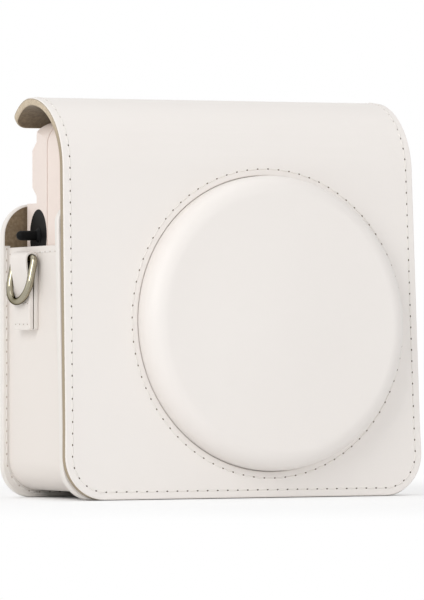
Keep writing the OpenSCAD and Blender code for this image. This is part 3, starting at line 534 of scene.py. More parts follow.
def follow(line, v, reach):
    """Places at distances v along a line, softened over a reach, and its way there."""
    run = run_along(line)
    near = np.clip(np.stack([v - reach, v + reach]), 0, run[-1])
    first, last = (np.stack([np.interp(stops, run, c) for c in line.T]) for stops in near)
    slope = last - first
    return 0.5 * (first + last), slope / np.linalg.norm(slope, axis=0)


print("a circle has", len(circle(0, 0, 1)), "points")

# %% [markdown]
# ## Sewing
# A seam is a row of short thread ends with a needle hole between each two. One stitch and one hole
# are modelled, and copied along the seam. On this case the holes are what the eye sees first.

# %% One stitch and one needle hole
THREAD_W = 0.55
THREAD_H = 0.42
HOLE_R = 0.28
HOLE_DEEP = 0.2
HOLE_DRAWN = (1.3, 0.85, 1)


def stitch_parts(length):
    """Points and faces of one stitch and of one needle hole, in millimetres."""
    bpy.ops.object.select_all(action="DESELECT")
    lying = (0, math.pi / 2, 0)
    bpy.ops.mesh.primitive_uv_sphere_add(segments=8, ring_count=6, radius=0.5, rotation=lying)
    thread = bpy.context.object
    bpy.ops.object.transform_apply(rotation=True)
    bpy.ops.object.mode_set(mode="EDIT")
    bpy.ops.transform.resize(value=(length, THREAD_W, THREAD_H))
    bpy.ops.object.mode_set(mode="OBJECT")
    bpy.ops.object.select_all(action="DESELECT")
    sunk = (0, 0, -HOLE_DEEP / 2)
    bpy.ops.mesh.primitive_cylinder_add(vertices=8, radius=HOLE_R, depth=HOLE_DEEP, location=sunk)
    hole = bpy.context.object
    bpy.ops.object.transform_apply(location=True)
    bpy.ops.object.mode_set(mode="EDIT")
    bpy.ops.transform.resize(value=HOLE_DRAWN, center_override=(0, 0, 0))
    bpy.ops.object.mode_set(mode="OBJECT")
    parts = []
    for piece in (thread, hole):
        points = np.array([v.co for v in piece.data.vertices])
        parts.append((points, [list(f.vertices) for f in piece.data.polygons]))
        bpy.data.objects.remove(piece)
    return parts


print("a stitch is", THREAD_W, "mm wide, its hole", 2 * HOLE_R, "mm")

# %% [markdown]
# Each copy is turned so that it runs along the seam and stands upright on the bent sheet. An Array
# modifier would only space the copies.

# %% A seam
PITCH = 3.7
STITCH_GAP = 0.75
STITCH_REACH = 0.2
THREAD_LIFT = 0.03
HOLE_LIFT = 0.025


def stitch_frame(line, run, place, stop):
    """Turn, place and upright of the stitch at one stop along a line."""
    near = np.clip([stop - STITCH_REACH, stop, stop + STITCH_REACH], 0, run[-1])
    u, v = (np.interp(near, run, c) for c in line.T)
    before, here, after = place(u, v, np.zeros(3)) / MM
    up = place(u[1:2], v[1:2], np.ones(1))[0] / MM - here
    along = after - before
    along -= up * np.dot(along, up) / np.dot(up, up)
    along /= np.linalg.norm(along)
    up /= np.linalg.norm(up)
    return np.stack([along, np.cross(up, along), up]), here, up


def seam(name, ring, place, body, slot, closed=False, pitch=PITCH, hole=HOLE):
    """Stitches along a line drawn on a flat sheet, laid with the sheet and riding with it."""
    line = np.array(ring, float)
    if closed:
        line = np.vstack([line, line[:1]])
    run = run_along(line)
    count = max(1, round(run[-1] / pitch))
    step = run[-1] / count
    middles = (np.arange(count) + 0.5) * step
    ends = np.arange(count if closed else count + 1) * step
    kinds = zip(stitch_parts(step - STITCH_GAP), (middles, ends), (THREAD_LIFT, HOLE_LIFT))
    points, faces, marks = [], [], []
    for index, ((shape, shape_faces), stops, lift) in enumerate(kinds):
        for stop in stops:
            turn, here, up = stitch_frame(line, run, place, stop)
            first = sum(len(p) for p in points)
            points.append(shape @ turn + here + up * lift)
            faces += [[first + i for i in face] for face in shape_faces]
            marks += [index] * len(shape_faces)
    mesh = bpy.data.meshes.new(name)
    mesh.from_pydata(np.vstack(points) * MM, [], faces)
    mesh.materials.append(THREAD)
    mesh.materials.append(hole)
    mesh.polygons.foreach_set("material_index", marks)
    piece = add_object(name, mesh)
    only(piece)
    bpy.ops.object.shade_smooth()
    finish_piece(piece, body, slot)


print("a stitch every", PITCH, "mm")

# %% [markdown]
# ## The cover
# One sheet covers the front, bends over the top in two rounds and ends above the back. Its length
# is measured along that line, so the sheet can be cut flat, hole for the lens dome included, and
# bent afterwards without stretching its good side.

# %% Where the cover lies
bend_start = hood_y * math.sin(LEAN) + hood_z * math.cos(LEAN)
bend_top = bend_start + HOOD_R * (math.pi / 2 - LEAN)
cover_run = bend_top + HOOD_REAR_R * HOOD_END


def on_cover(u, v, n):
    """Place of a point of the flat cover: u across, v up the front and over the top, n outwards."""
    front = np.clip((v - bend_start) / HOOD_R, 0, math.pi / 2 - LEAN) + LEAN
    rear = np.clip((v - bend_top) / HOOD_REAR_R, 0, None)
    rise = np.minimum(v, bend_start)
    flat_y = rise * math.sin(LEAN) - n * math.cos(LEAN)
    flat_z = rise * math.cos(LEAN) + n * math.sin(LEAN)
    y = np.where(v <= bend_start, flat_y, hood_y - (HOOD_R + n) * np.cos(front))
    z = np.where(v <= bend_start, flat_z, hood_z + (HOOD_R + n) * np.sin(front))
    y = np.where(v > bend_top, hood_y + (HOOD_REAR_R + n) * np.sin(rear), y)
    z = np.where(v > bend_top, hood_rear_z + (HOOD_REAR_R + n) * np.cos(rear), z)
    return to_frame(u, y, z)


print("the cover is", round(cover_run, 1), "mm long and bends from", round(bend_start, 1), "mm on")

# %% [markdown]
# The cover's sides draw in a little towards the top, and the hood has smaller corners than the
# front. Only the right half is drawn, and mirrored.

# %% Cover cut, bent and sewn
EDGE = 0.45
COVER_LOW = 0.2
SIDE_START = 24.0
FLAT_ROWS = (30, 60, 90)
BEND_LEAD = 0.6
DOME_GAP = 0.12
COVER_SEAM_IN = 2.5
DOME_SEAM_R = 50.4
DOME_PITCH = 3.9


def cover_half(v):
    """Half the cover's width at a place along it."""
    z = on_cover(0.0, v, 0.0)[..., 2] / MM
    return COVER_HALF - COVER_TAPER * z / COVER_HIGH


def cover_ring():
    """Outline of the flat cover."""
    right = arc(COVER_HALF - COVER_CORNER, COVER_CORNER + COVER_LOW, COVER_CORNER, -90, 0, 16)
    side = np.linspace(SIDE_START, bend_start, 5)
    hood = np.linspace(bend_start, bend_top, 10)[1:]
    for v in np.concatenate([side, hood]):
        right.append((float(cover_half(v)), v))
    rear_half = float(cover_half(cover_run)) - HOOD_DRAW
    right += arc(rear_half - HOOD_CORNER, cover_run - HOOD_CORNER, HOOD_CORNER, 0, 90, 16)
    return right + [(-u, v) for u, v in reversed(right)]


outline = cover_ring()
lens_hole = circle(LENS_X, LENS_U, DOME_R + DOME_GAP + EDGE)
cover_rings = [inset_ring(outline, EDGE), lens_hole]
cover = cut_sheet("cover_leather", cover_rings, COVER_T - DISC_PROUD, EDGE)
front_bend = np.linspace(bend_start - BEND_LEAD, bend_top, 32)
rear_bend = np.linspace(bend_top, cover_run - EDGE, 20)[1:-1]
slice_sheet(cover, [*FLAT_ROWS, *front_bend, *rear_bend], axis=1)
dress(cover, IVORY, LINING, RAW)
lay(cover, on_cover)
finish_piece(cover, "cover", "case_leather", "cover_panel")
cover_line = inset_ring(outline, COVER_SEAM_IN)
seam("cover_seam", cover_line, on_cover, "cover", "case_leather", True)
dome_line = circle(LENS_X, LENS_U, DOME_SEAM_R, 240)
seam("dome_seam", dome_line, on_cover, "cover", "case_leather", True, DOME_PITCH, SOFT_HOLE)

# %% [markdown]
# ## The lens dome
# The dome is pressed over a former, so it is a turned shape: half its section is drawn once and
# spun round the lens axis. A little crown keeps the broad face from looking like a lid.

# %% Section of the dome
DOME_HIGH = 9.0
DOME_EDGE = 6.4
DOME_T = 1.6
CROWN = 1.0
FOOT_HIGH = 1.5
FOOT_EDGE = 0.3


def dome_section():
    """Half the dome's section as radius and height: over the top, round the foot, back inside."""
    flat_r = DOME_R - DOME_EDGE
    foot_h = DOME_HIGH - DOME_EDGE
    inner_r = DOME_R - DOME_T
    section = []
    for r in np.linspace(0, flat_r, 10):
        section.append((r, DOME_HIGH + CROWN * (0.5 + 0.5 * math.cos(math.pi * r / flat_r))))
    section += arc(flat_r, foot_h, DOME_EDGE, 90, 0, 18)[1:]
    section += [(DOME_R, FOOT_HIGH), (DOME_R, -COVER_T + FOOT_EDGE), (DOME_R - FOOT_EDGE, -COVER_T)]
    section += [(inner_r + FOOT_EDGE, -COVER_T), (inner_r, -COVER_T + FOOT_EDGE)]
    section += arc(flat_r, foot_h, DOME_EDGE - DOME_T, 0, 90, 14)
    section.append((0, DOME_HIGH - DOME_T))
    return section


print("the dome's section has", len(dome_section()), "points")

# %% [markdown]
# The spin leaves doubled points at the pole and where it closes, so they are welded before the
# faces are turned outwards. Faces well inside the outer round belong to the lining.

# %% Dome spun from its section
def spin_section(name, section, steps):
    """Spins a section of (radius, height) points round the height axis."""
    mesh = bpy.data.meshes.new(name)
    edges = [(i, i + 1) for i in range(len(section) - 1)]
    mesh.from_pydata([(r, 0, h) for r, h in section], edges, [])
    piece = add_object(name, mesh)
    edit_all(piece)
    bpy.ops.mesh.spin(steps=steps, angle=2 * math.pi, center=(0, 0, 0), axis=(0, 0, 1))
    bpy.ops.object.mode_set(mode="OBJECT")
    close_mesh(piece)
    return piece


def on_dome(u, v, n):
    return leaning(LENS_X + u, -n, LENS_U + v)


dome = spin_section("dome_leather", dome_section(), 144)
dome.data.materials.append(IVORY)
dome.data.materials.append(LINING)
for face in dome.data.polygons:
    r, h = math.hypot(face.center.x, face.center.y), face.center.z
    round_r = math.hypot(max(r - DOME_R + DOME_EDGE, 0), max(h - DOME_HIGH + DOME_EDGE, 0))
    face.material_index = int(round_r < DOME_EDGE - DOME_T / 2)
lay(dome, on_dome)
finish_piece(dome, "cover", "case_leather", "lens_dome")

# %% [markdown]
# ## The walls and the gusset
# The front and back walls are flat sheets with turned edges. The gusset is one long strip that is
# bent round the two lower corners and sewn to both walls. The front wall has a wide opening for the
# lens, let in from the top, and a finger hole for the shutter button.

# %% Front wall
NOTCH_R = 42.0
NOTCH_LIP = 2.0
FRONT_HALF = WALL_HALF + 0.4
FRONT_CORNER = 6.5
FRONT_FOOT = 10.8
FRONT_LOW = 0.25
BUTTON = (-47.0, 66.0)
BUTTON_R = 9.3
TURN = 0.6
WALL_SEAM_IN = 2.4
wall_front = COVER_T + FIT


def on_front_wall(u, v, n):
    return leaning(u, wall_front + DISC_PROUD - n, v)


def front_ring():
    """Outline of the front wall."""
    half, foot, r, lip = FRONT_HALF, FRONT_FOOT, FRONT_CORNER, NOTCH_LIP
    return [
        *arc(half - foot, FRONT_LOW + foot, foot, -90, 0, 14),
        *arc(half - r, WALL_HIGH - r, r, 0, 90, 14),
        *arc(LENS_X + NOTCH_R + lip, WALL_HIGH - lip, lip, 90, 180, 6),
        *arc(LENS_X, LENS_U, NOTCH_R, 0, -180, 64),
        *arc(LENS_X - NOTCH_R - lip, WALL_HIGH - lip, lip, 0, 90, 6),
        *arc(r - half, WALL_HIGH - r, r, 90, 180, 14),
        *arc(foot - half, FRONT_LOW + foot, foot, 180, 270, 14),
    ]


front_rings = [inset_ring(front_ring(), TURN), circle(*BUTTON, BUTTON_R, 48)]
front_wall = cut_sheet("front_wall_leather", front_rings, WALL_T - DISC_PROUD, TURN)
dress(front_wall, IVORY, LINING, TURNED)
lay(front_wall, on_front_wall)
finish_piece(front_wall, "camera", "case_leather", "case_front")
front_line = inset_ring(front_ring(), WALL_SEAM_IN)
seam("front_wall_seam", front_line, on_front_wall, "camera", "case_leather", True)

# %% [markdown]
# The back wall stands upright. It has a window, so that the doors open with the case on, and a rail
# in the middle of its top edge that the tongue is snapped to. A window cut by a boolean would leave
# a sharp edge, so it is one more ring of the same flat cut.

# %% Back wall
RAIL_HALF = 24.0
RAIL_TOP = 106.0
RAIL_NECK = 3.0
RAIL_CORNER = 5.0
WINDOW_HALF = 54.5
WINDOW_LOW = 5.0
WINDOW_HIGH = 92.2
WINDOW_CORNER = 2.5


def on_back_wall(u, v, n):
    return to_frame(-u, CASE_DEPTH + n, v)


def back_ring():
    """Outline of the back wall."""
    half, r, neck, rail = WALL_HALF, WALL_CORNER, RAIL_NECK, RAIL_CORNER
    side = [
        *arc(half - r, r, r, -90, 0, 14),
        *arc(half - r, WALL_HIGH - r, r, 0, 90, 14),
        *arc(RAIL_HALF + neck, WALL_HIGH + neck, neck, -90, -180, 6),
        *arc(RAIL_HALF - rail, RAIL_TOP - rail, rail, 0, 90, 10),
    ]
    return side + [(-u, v) for u, v in reversed(side)]


corner = WINDOW_CORNER + TURN
window_ring = round_plate(WINDOW_HALF + TURN, WINDOW_LOW - TURN, WINDOW_HIGH + TURN, corner, corner)
back_rings = [inset_ring(back_ring(), TURN), window_ring]
back_wall = cut_sheet("back_wall_leather", back_rings, WALL_T, TURN)
dress(back_wall, IVORY, LINING, TURNED)
lay(back_wall, on_back_wall)
finish_piece(back_wall, "camera", "case_leather", "case_back")
back_line = inset_ring(back_ring(), WALL_SEAM_IN)
seam("back_wall_seam", back_line, on_back_wall, "camera", "case_leather", True)

# %% [markdown]
# The gusset runs down one side, round a corner, along the bottom and up the other side. A point of
# the strip is known by its distance along that run, so one function bends both corners, and the
# seams and the margin beside the strip follow the same run.

# %% Where the gusset lies
GUSSET_CORNER = 10.5
MARGIN_T = 0.12
SLACK = 0.05
side_run = GUSSET_HIGH - GUSSET_LOW - GUSSET_CORNER
corner_run = GUSSET_CORNER * math.pi / 2
base_run = 2 * (GUSSET_HALF - GUSSET_CORNER)
gusset_run = 2 * side_run + 2 * corner_run + base_run
gusset_front = wall_front + WALL_T + SLACK
gusset_back = CASE_DEPTH - WALL_T - MARGIN_T - SLACK


def gusset_turn(s):
    """How far the strip has turned from the bottom to the side, as an angle."""
    past = np.abs(s - gusset_run / 2) - base_run / 2
    return np.clip(past / GUSSET_CORNER, 0, math.pi / 2)


def gusset_line(s, n):
    """x and z of the strip at a distance s along it, from the top of the left side."""
    away = np.abs(s - gusset_run / 2)
    rise = np.maximum(away - base_run / 2 - corner_run, 0)
    turn = gusset_turn(s)
    r = GUSSET_CORNER + n
    x = np.sign(s - gusset_run / 2) * (np.minimum(away, base_run / 2) + r * np.sin(turn))
    z = GUSSET_LOW + GUSSET_CORNER - r * np.cos(turn) + rise
    return x, z


print("the gusset is", round(gusset_run, 1), "mm long")

# %% [markdown]
# The strip's front edge isn't straight: it follows the lean of the front wall, so it is drawn from
# the height that each part of the strip will have. Its two ends drop a little towards the back.

# %% Gusset cut, bent and sewn
GUSSET_EDGE = 0.4
TOP_DROP = 0.9
TOP_SEAM_IN = 1.8
TOP_SEAM_FRONT = 9.8
TOP_SEAM_BACK = 1.0


def on_gusset(s, w, n):
    x, z = gusset_line(s, n)
    return to_frame(x, w, z)


def gusset_ring():
    """Flat outline of the strip."""
    stops = np.concatenate([[0], np.linspace(side_run, gusset_run - side_run, 48), [gusset_run]])
    z = gusset_line(stops, 0.0)[1]
    front = (gusset_front + z * math.sin(LEAN)) / math.cos(LEAN)
    return [*zip(stops, front), (gusset_run - TOP_DROP, gusset_back), (TOP_DROP, gusset_back)]


gusset_rings = [inset_ring(gusset_ring(), GUSSET_EDGE)]
gusset = cut_sheet("gusset_leather", gusset_rings, GUSSET_T, GUSSET_EDGE)
corner_stops = np.linspace(side_run, side_run + corner_run, 16)
corner_rows = [*corner_stops, *(gusset_run - corner_stops)]
slice_sheet(gusset, corner_rows, axis=0)
dress(gusset, BLUSH, LINING, TURNED)
lay(gusset, on_gusset)
finish_piece(gusset, "camera", "gusset_leather", "case_gusset")
for word, end, inward in (("left", 0, 1), ("right", gusset_run, -1)):
    seam_front = (end + inward * TOP_SEAM_IN, TOP_SEAM_FRONT)
    seam_back = (end + inward * (TOP_SEAM_IN + TOP_DROP), gusset_back - TOP_SEAM_BACK)
    line = [seam_front, seam_back]
    seam(f"gusset_seam_{word}", line, on_gusset, "camera", "gusset_leather", hole=FAINT_HOLE)

# %% [markdown]
# The back wall stands out past the gusset. There its leather is turned over the edge and sewn down,
# so a thin band of the outer leather covers the lining as far as the gusset.

# %% Turned margin of the back wall
MARGIN_INSIDE = -0.5
MARGIN_CLEAR = 0.35
MARGIN_EDGE = 0.04
MARGIN_SEAM = 0.75


def on_margin(s, w, n):
    """The strip of the back wall that stands out past the gusset, seen from the front."""
    x, z = gusset_line(s, w)
    return to_frame(x, CASE_DEPTH - WALL_T - MARGIN_T - n, z)


def margin_ring():
    """Flat outline of the band: its outer edge stays a little inside the back wall's own edge."""
    half_stops = np.concatenate([[0], corner_stops])
    stops = np.concatenate([half_stops, gusset_run - half_stops[::-1]])
    turn = gusset_turn(stops)
    overhang = (WALL_HALF - GUSSET_HALF) * np.sin(turn) + GUSSET_LOW * np.cos(turn)
    outer = overhang - MARGIN_CLEAR
    return [(0, MARGIN_INSIDE), (gusset_run, MARGIN_INSIDE), *zip(stops[::-1], outer[::-1])]


margin = cut_sheet("back_wall_margin", [margin_ring()], MARGIN_T, MARGIN_EDGE)
slice_sheet(margin, corner_rows, axis=0)
dress(margin, TURNED, TURNED, TURNED)
lay(margin, on_margin)
finish_piece(margin, "camera", "case_leather")
margin_line = [(s, MARGIN_SEAM) for s in np.linspace(1, gusset_run - 1, 200)]
seam("flange_seam", margin_line, on_margin, "camera", "case_leather", hole=FAINT_HOLE)

# %% [markdown]
# ## The tongue
# A strap is sewn on the end of the hood and snapped to the back with two press studs. It bends
# where the cover hinges. Splitting it there would leave a gap when the cover opens, so it stays one
# sheet.

# %% Tongue bent along its line
TONGUE_HALF = 17.0
TONGUE_T = 1.3
TONGUE_EDGE = 0.35
TONGUE_END = 0.6
TONGUE_REACH = 1.2
TONGUE_ROWS = 0.9
ON_HOOD = 0.08
ON_RAIL = 0.1


def tongue_points():
    """Line of the tongue's inner face: up the back, over to the hood and along it."""
    line = [(CASE_DEPTH + ON_RAIL, z) for z in (93.0, 99.0, 105.0)]
    line += [(48.7, 110.0), (48.1, 114.0)]
    r = HOOD_REAR_R + ON_HOOD
    for a in np.radians([66, 58, 50, 42, 34, 28]):
        line.append((hood_y + r * math.sin(a), hood_rear_z + r * math.cos(a)))
    return np.array(line)


def on_tongue(u, v, n):
    (y, z), slope = follow(tongue_points(), v, TONGUE_REACH)
    out = n + TONGUE_T
    return to_frame(-u, y + slope[1] * out, z - slope[0] * out)


tongue_run = run_along(tongue_points())[-1]
tongue_ring = round_plate(TONGUE_HALF, TONGUE_END, tongue_run - TONGUE_END, 5, 4)
tongue = cut_sheet("tongue_leather", [inset_ring(tongue_ring, TONGUE_EDGE)], TONGUE_T, TONGUE_EDGE)
slice_sheet(tongue, np.arange(2.0, tongue_run - 1, TONGUE_ROWS), axis=1)
dress(tongue, IVORY, LINING, TURNED)
lay(tongue, on_tongue)
print("tongue", round(tongue_run, 1), "mm long")

# %% [markdown]
# The bend is spread over a few millimetres to both sides of the hinge, as stiff leather does it.
# The seam at the upper end holds the tongue to the hood and rides with the cover.

# %% Tongue in place of the solid one, and sewn
SEAM_LONG = 9.0
SEAM_END = 3
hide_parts("hinge_tongue")
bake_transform(tongue)
sewn_from, sewn_to = tongue_run - SEAM_LONG, tongue_run - SEAM_END
tongue_line = round_plate(TONGUE_HALF - WALL_SEAM_IN, sewn_from, sewn_to, 1, 2)
seam("tongue_seam", tongue_line, on_tongue, "cover", "case_leather", True)

# %% [markdown]
# ## Strap tabs and D rings
# Each tab is one thin strip, folded round the bar of the ring and sewn to itself and to the gusset.
# Where it folds it is pared thinner, as a strap maker does it. Two pieces would be simpler, but
# their joint would show at the top.

# %% Where a tab lies
TAB_T = 1.5
FOLD_T = 0.88
FOLD_R = 2.0
TAB_GAP = 0.28
TAB_LOW = 54.3
TAB_SEAT = 63.36
TAB_REACH = 0.7
BAR_X = 65.5
BAR_Z = 78.0
tab_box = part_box("strap_tab_left")
TAB_Y = (tab_box[0].y + tab_box[1].y) / 2 / MM - front_y


def tab_points():
    """Middle line of the strip: up behind, loosely over the bar, and down in front."""
    inner = TAB_SEAT + TAB_T / 2
    outer = TAB_SEAT + 1.5 * TAB_T + TAB_GAP
    fold = TAB_SEAT + FOLD_T / 2
    line = [(inner, z) for z in np.linspace(TAB_LOW, BAR_Z - 6, 5)]
    line += [(fold, BAR_Z - 3), (fold, BAR_Z - 0.4)]
    line += arc(fold + FOLD_R, BAR_Z - 0.2, FOLD_R, 178, -20, 20)
    line += [(outer + 1.6, BAR_Z - 3.4), (outer + 0.9, BAR_Z - 5.8), (outer + 0.35, BAR_Z - 8)]
    line += [(outer + 0.07, BAR_Z - 10.5)]
    line += [(outer, z) for z in np.linspace(BAR_Z - 13, TAB_LOW, 4)]
    return np.array(line)


tab_run = run_along(tab_points())[-1]


def on_tab(side):
    """The placing function of one tab."""
    line = tab_points()
    pared_from = BAR_Z - 6 - TAB_LOW
    pared_to = tab_run - (BAR_Z - 8 - TAB_LOW)
    paring = [pared_from, pared_from + 3, pared_to - 4, pared_to]

    def place(u, v, n):
        (x, z), slope = follow(line, v, TAB_REACH)
        thick = np.interp(v, paring, [TAB_T, FOLD_T, FOLD_T, TAB_T])
        out = (n / TAB_T + 0.5) * thick
        return to_frame(side * (x - slope[1] * out), TAB_Y + u, z + slope[0] * out)

    return place


print("each tab is a strip", round(tab_run, 1), "mm long")

# %% [markdown]
# The strip is cut flat, sliced closely and laid along its line, once for each side. Two short rows
# of stitches hold the layers together.

# %% Tabs folded and sewn
TAB_HALF = 5.5
TAB_EDGE = 0.3
TAB_ROWS = 0.6
TAB_SEAM_HALF = 4.2
TAB_SEAMS = (2.2, 8.9)
TAB_PITCH = 2.8
tab_ring = round_plate(TAB_HALF - TAB_EDGE, TAB_EDGE, tab_run - TAB_EDGE, 1, 1)
for side, word in SIDES:
    place = on_tab(side)
    tab = cut_sheet(f"tab_leather_{word}", [tab_ring], TAB_T, TAB_EDGE)
    slice_sheet(tab, np.arange(4.0, tab_run - 4, TAB_ROWS), axis=1)
    dress(tab, BLUSH, LINING, TURNED)
    lay(tab, place)
    finish_piece(tab, "camera", "case_leather", f"strap_tab_{word}")
    for number, up in enumerate(TAB_SEAMS, 1):
        row = [(-TAB_SEAM_HALF, tab_run - up), (TAB_SEAM_HALF, tab_run - up)]
        name = f"tab_seam_{word}_{number}"
        seam(name, row, place, "camera", "case_leather", False, TAB_PITCH, FAINT_HOLE)

# %% [markdown]
# A D ring is bent from one round wire: a straight bar, two arms and a bow. A torus would have no
# bar, so the ring is a curve with a round bevel, which is just what a bent wire is.

# %% D rings bent from wire
WIRE_R = 1.2
RING_HALF = 7.0
RING_HIGH = 14.4
RING_TILT = math.radians(12)
RING_BEND = 1.5


def ring_points(side):
    """Middle line of the wire: bar, arms and bow, drawn in the ring's plane and tilted outwards."""
    line = arc(RING_HALF - RING_BEND, -RING_BEND, RING_BEND, 90, 0, 8)
    line += arc(0, RING_HALF - RING_HIGH, RING_HALF, 0, -180, 40)
    line += arc(RING_BEND - RING_HALF, -RING_BEND, RING_BEND, 180, 90, 8)
    across, up = np.array(line).T
    out = side * (BAR_X - up * math.sin(RING_TILT))
    return np.stack([out, TAB_Y + across, BAR_Z + up * math.cos(RING_TILT)], axis=1)


for side, word in SIDES:
    wire = bpy.data.curves.new(f"wire_{word}", "CURVE")
    wire.dimensions = "3D"
    wire.bevel_depth = WIRE_R
    wire.bevel_resolution = 6
    draw_ring(wire, ring_points(side))
    ring = add_object(f"d_ring_wire_{word}", wire)
    only(ring)
    bpy.ops.object.convert(target="MESH")
    lay(ring, to_frame)
    finish_piece(ring, f"d_ring_{word}", "ring_metal", f"d_ring_{word}")

# %% [markdown]
# ## Finishes of the rigid pieces
# The solids keep their shape. Plastic, metal and glass are told apart by their gloss more than by
# their colour, so each kind has one recipe: the tool's fine texture on plastic, marks of grinding
# or rolling on metal, wipe marks on glass.

# %% Plastics, metals and glass
def moulded(name, colour, deeper, roughness, relief=30 * MICRON, gloss=0.5):
    """Moulded plastic with the fine texture of the tool."""
    finish = Finish(name, colour, roughness, Specular_IOR_Level=gloss)
    texture = finish.noise(2600, detail=2)
    flow = finish.noise(40, detail=2)
    finish.feed("Base Color", flow.blend(colour, deeper))
    finish.feed("Roughness", roughness - 0.05 + 0.1 * texture)
    finish.bump(texture, relief, 0.4)
    return finish.material


def metal(name, colour, roughness, stretch=(1, 1, 1), scale=1400, rim=1.0):
    """Bare or plated metal; the stretch draws its marks out, and a low rim darkens its edges."""
    finish = Finish(name, colour, roughness, Metallic=1.0, Specular_Tint=(rim, rim, rim, 1))
    marks = finish.noise(scale, detail=4, stretch=stretch)
    finish.feed("Roughness", roughness * 0.7 + roughness * 0.6 * marks)
    finish.feed("Base Color", marks.blend(shade(colour, 0.82), colour))
    finish.bump(marks, 4 * MICRON, 0.3)
    return finish.material


def clear(name, colour, roughness, ior):
    """Clear pane or lens with faint wipe marks in its gloss."""
    finish = Finish(name, colour, roughness, Transmission_Weight=1.0, IOR=ior)
    wipes = finish.noise(180, stretch=(1, 1, 4))
    finish.feed("Roughness", roughness + 0.04 * wipes.smooth(0.5, 0.8))
    return finish.material


print("recipes: moulded, metal, clear")

# %% [markdown]
# One table holds a finish for each material slot of the record, so that all pieces of one stuff
# match. The housing is a pale rose plastic, the strap lugs are dull black, and the D rings are
# plated in a dark antique brass.

# %% A finish for each slot
FINISHES = {
    "snap_metal": moulded("snap_enamel", (0.80, 0.77, 0.73), (0.77, 0.74, 0.70), 0.3),
    "steel": metal("steel", (0.62, 0.62, 0.61), 0.32, (1, 8, 1)),
    "magnet": metal("plated_magnet", (0.55, 0.55, 0.56), 0.25),
    "ring_metal": metal("plated_ring", (0.43, 0.395, 0.30), 0.09, scale=160, rim=0.03),
    "body_plastic": moulded("shell_plastic", (0.845, 0.735, 0.672), (0.832, 0.718, 0.654), 0.42),
    "ring_plastic": moulded("lens_ring_plastic", (0.78, 0.72, 0.69), (0.76, 0.70, 0.67), 0.36),
    "lug_plastic": moulded(
        "lug_plastic", (0.006, 0.006, 0.006), (0.009, 0.009, 0.009), 0.5, gloss=0.07
    ),
    "clear_plastic": clear("clear_pane", (0.92, 0.94, 0.95), 0.04, 1.49),
    "dark_window": moulded(
        "dark_window", (0.02, 0.02, 0.024), (0.03, 0.028, 0.034), 0.12, 4 * MICRON
    ),
    "lens_glass": clear("lens_glass", (0.90, 0.93, 0.97), 0.02, 1.52),
    "mirror": metal("mirror", (0.92, 0.92, 0.92), 0.03),
    "black_plastic": moulded("black_plastic", (0.018, 0.018, 0.019), (0.026, 0.026, 0.026), 0.55),
    "film_paper": moulded("film_paper", (0.86, 0.86, 0.84), (0.82, 0.82, 0.80), 0.6),
    "roller_metal": metal("ground_roller", (0.66, 0.66, 0.66), 0.22, (8, 1, 1)),
    "gear_plastic": moulded("gear_plastic", (0.80, 0.77, 0.68), (0.76, 0.73, 0.64), 0.4),
    "cell_wrap": metal("cell_wrap", (0.62, 0.46, 0.20), 0.3),
    "contact_metal": metal("contact_metal", (0.80, 0.66, 0.36), 0.28),
    "button_plastic": moulded("button_plastic", (0.74, 0.71, 0.69), (0.71, 0.68, 0.66), 0.25),
    "board": moulded("board", (0.03, 0.17, 0.075), (0.02, 0.12, 0.05), 0.35),
    "capacitor_can": moulded("capacitor_sleeve", (0.03, 0.03, 0.035), (0.045, 0.045, 0.05), 0.3),
    "dial_plastic": moulded("dial_plastic", (0.82, 0.81, 0.78), (0.79, 0.78, 0.75), 0.4),
    "case_leather": IVORY,
    "gusset_leather": BLUSH,
}
print(len(FINISHES), "finishes")

# %% [markdown]
# The finishes go on the solids as they are, and on the new rings. The shutter's plate and blade are
# steel too, but blackened, because bright metal there would throw stray light on the film.

# %% Finishes laid on the solids
BLACKENED = metal("blackened_steel", (0.045, 0.045, 0.05), 0.45)
for _, word in SIDES:
    bpy.data.objects[f"d_ring_wire_{word}"].data.materials.append(FINISHES["ring_metal"])
for row in frame["record"]["subparts"]:
    mesh = nodes[row["node"]].data
    mesh.materials.clear()
    mesh.materials.append(FINISHES[row["material_slot"]])
for name in ("shutter_plate", "shutter_blade"):
    nodes[name].data.materials[0] = BLACKENED

# %% [markdown]
# ## Floor, light and camera
# The picture was taken with a long lens almost level with the table, against white. More light on
# the floor would make it white but would bleach the case too. So the floor is white to the camera
# by its own glow, and keeps a share of its real shade round the case, all of it where the case
# touches.

# %% White floor
FLOOR = (0.93, 0.93, 0.93)
SHADE_SHARE = 0.45
SHADE_REACH = (0.1, 0.26)
CONTACT = 0.012


def background_rays(start):
    """1 for the rays that show the background: from the camera, mirrored or through glass."""
    kinds = ("Is Camera Ray", "Is Glossy Ray", "Is Transmission Ray")
    seen, mirrored, through = (start.node("ShaderNodeLightPath", output=kind) for kind in kinds)
    return start.math("MINIMUM", seen + mirrored + through, 1.0)


def stage_white(name):
    """White by its own glow, less so where it is shaded."""
    finish = Finish(name, FLOOR, 0.9)
    node = finish.start.node
    glow = node("ShaderNodeEmission", None, {"Color": (1, 1, 1, 1), "Strength": 1.0})
    away = node("ShaderNodeVectorMath", {"operation": "LENGTH"}, {0: finish.place}, "Value")
    near = 1 - away.smooth(*SHADE_REACH)
    open_sky = node("ShaderNodeAmbientOcclusion", None, {"Distance": CONTACT}, "AO")
    shaded = near * (SHADE_SHARE + (1 - SHADE_SHARE) * (1 - open_sky))
    glowing = background_rays(finish.start) * (1 - shaded)
    mixed = node("ShaderNodeMixShader", None, {0: glowing, 1: finish.start, 2: glow})
    tree = finish.material.node_tree
    tree.links.new(mixed.socket, tree.nodes["Material Output"].inputs["Surface"])
    return finish.material


bpy.ops.object.select_all(action="DESELECT")
bpy.ops.mesh.primitive_plane_add(size=12)
floor = bpy.context.object
floor.name = "floor"
floor.data.materials.append(stage_white("white_floor"))
print("floor", round(floor.dimensions.x), "m wide")

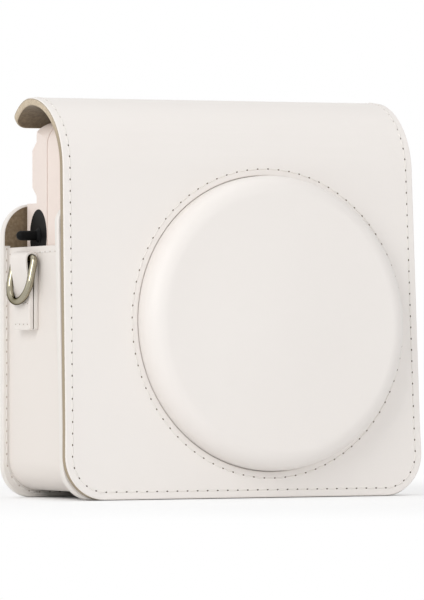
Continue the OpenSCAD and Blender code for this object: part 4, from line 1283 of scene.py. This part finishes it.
# %% [markdown]
# The room is white to the camera, in reflections and through glass, but lights the case more
# gently. Large square lamps do the rest: a key from the left, a weaker one in front, and fill from
# above, the side and the back. The last one would streak the hood, so reflections leave it out.

# %% White room and lamps
ROOM_LIGHT = 0.56
# Place and width in metres and power in watts of each lamp.
LAMPS = {
    "key_lamp": ((-1.4, -0.8, 0.9), 1.0, 12.5),
    "front_lamp": ((0.4, -1.7, 0.5), 1.2, 4.9),
    "top_lamp": ((0.1, 0.1, 1.4), 1.0, 2.9),
    "side_lamp": ((-1.7, 0.25, 0.5), 1.0, 1.0),
    "back_lamp": ((0.2, 1.8, 0.4), 1.0, 4.5),
}
LIT_POINT = Vector((0, 0, 0.06))
world = bpy.data.worlds.new("white_room")
bpy.context.scene.world = world
world.use_nodes = True
background = world.node_tree.nodes["Background"]
room = Wire(world.node_tree, background.outputs[0])
strength = ROOM_LIGHT + (1 - ROOM_LIGHT) * background_rays(room)
world.node_tree.links.new(strength.socket, background.inputs["Strength"])
background.inputs["Color"].default_value = (1, 1, 1, 1)
for name, (spot, size, power) in LAMPS.items():
    data = bpy.data.lights.new(name, "AREA")
    data.size = size
    data.energy = power
    lamp = add_object(name, data)
    lamp.location = spot
    lamp.rotation_euler = (LIT_POINT - lamp.location).to_track_quat("-Z", "Y").to_euler()
    lamp.visible_glossy = name != "back_lamp"
print("lamps:", *LAMPS)

# %% [markdown]
# The camera is the one that took the picture, solved from the corners of the cover, its sides and
# the stitched circle. It stands two metres off, to the left of the front. Its shift puts the case
# where the picture has it.

# %% Camera of the photograph
AZIMUTH = math.radians(-28.98)
ELEVATION = math.radians(-0.065)
FOCAL_PX = 6400.47
DISTANCE = 2078.4
AIM_HIGH = 65
AIM_PX = (247.36, 298.16)
IMAGE = (424, 600)
SENSOR = 36.0
aim = Vector((0, front_y * MM, AIM_HIGH * MM))
flat = math.cos(ELEVATION)
back = Vector((math.sin(AZIMUTH) * flat, -math.cos(AZIMUTH) * flat, math.sin(ELEVATION)))
data = bpy.data.cameras.new("photo_camera")
data.sensor_width = SENSOR
data.lens = FOCAL_PX / IMAGE[1] * SENSOR
data.shift_x = (IMAGE[0] / 2 - AIM_PX[0]) / IMAGE[1]
data.shift_y = (AIM_PX[1] - IMAGE[1] / 2) / IMAGE[1]
data.clip_start = 0.05
data.clip_end = 50
camera = add_object("photo_camera", data)
camera.location = aim + back * DISTANCE * MM
camera.rotation_mode = "QUATERNION"
camera.rotation_quaternion = (-back).to_track_quat("-Z", "Y")
bpy.context.scene.camera = camera
bpy.context.scene.view_settings.view_transform = "Standard"
print("camera at", [round(c, 3) for c in camera.location])
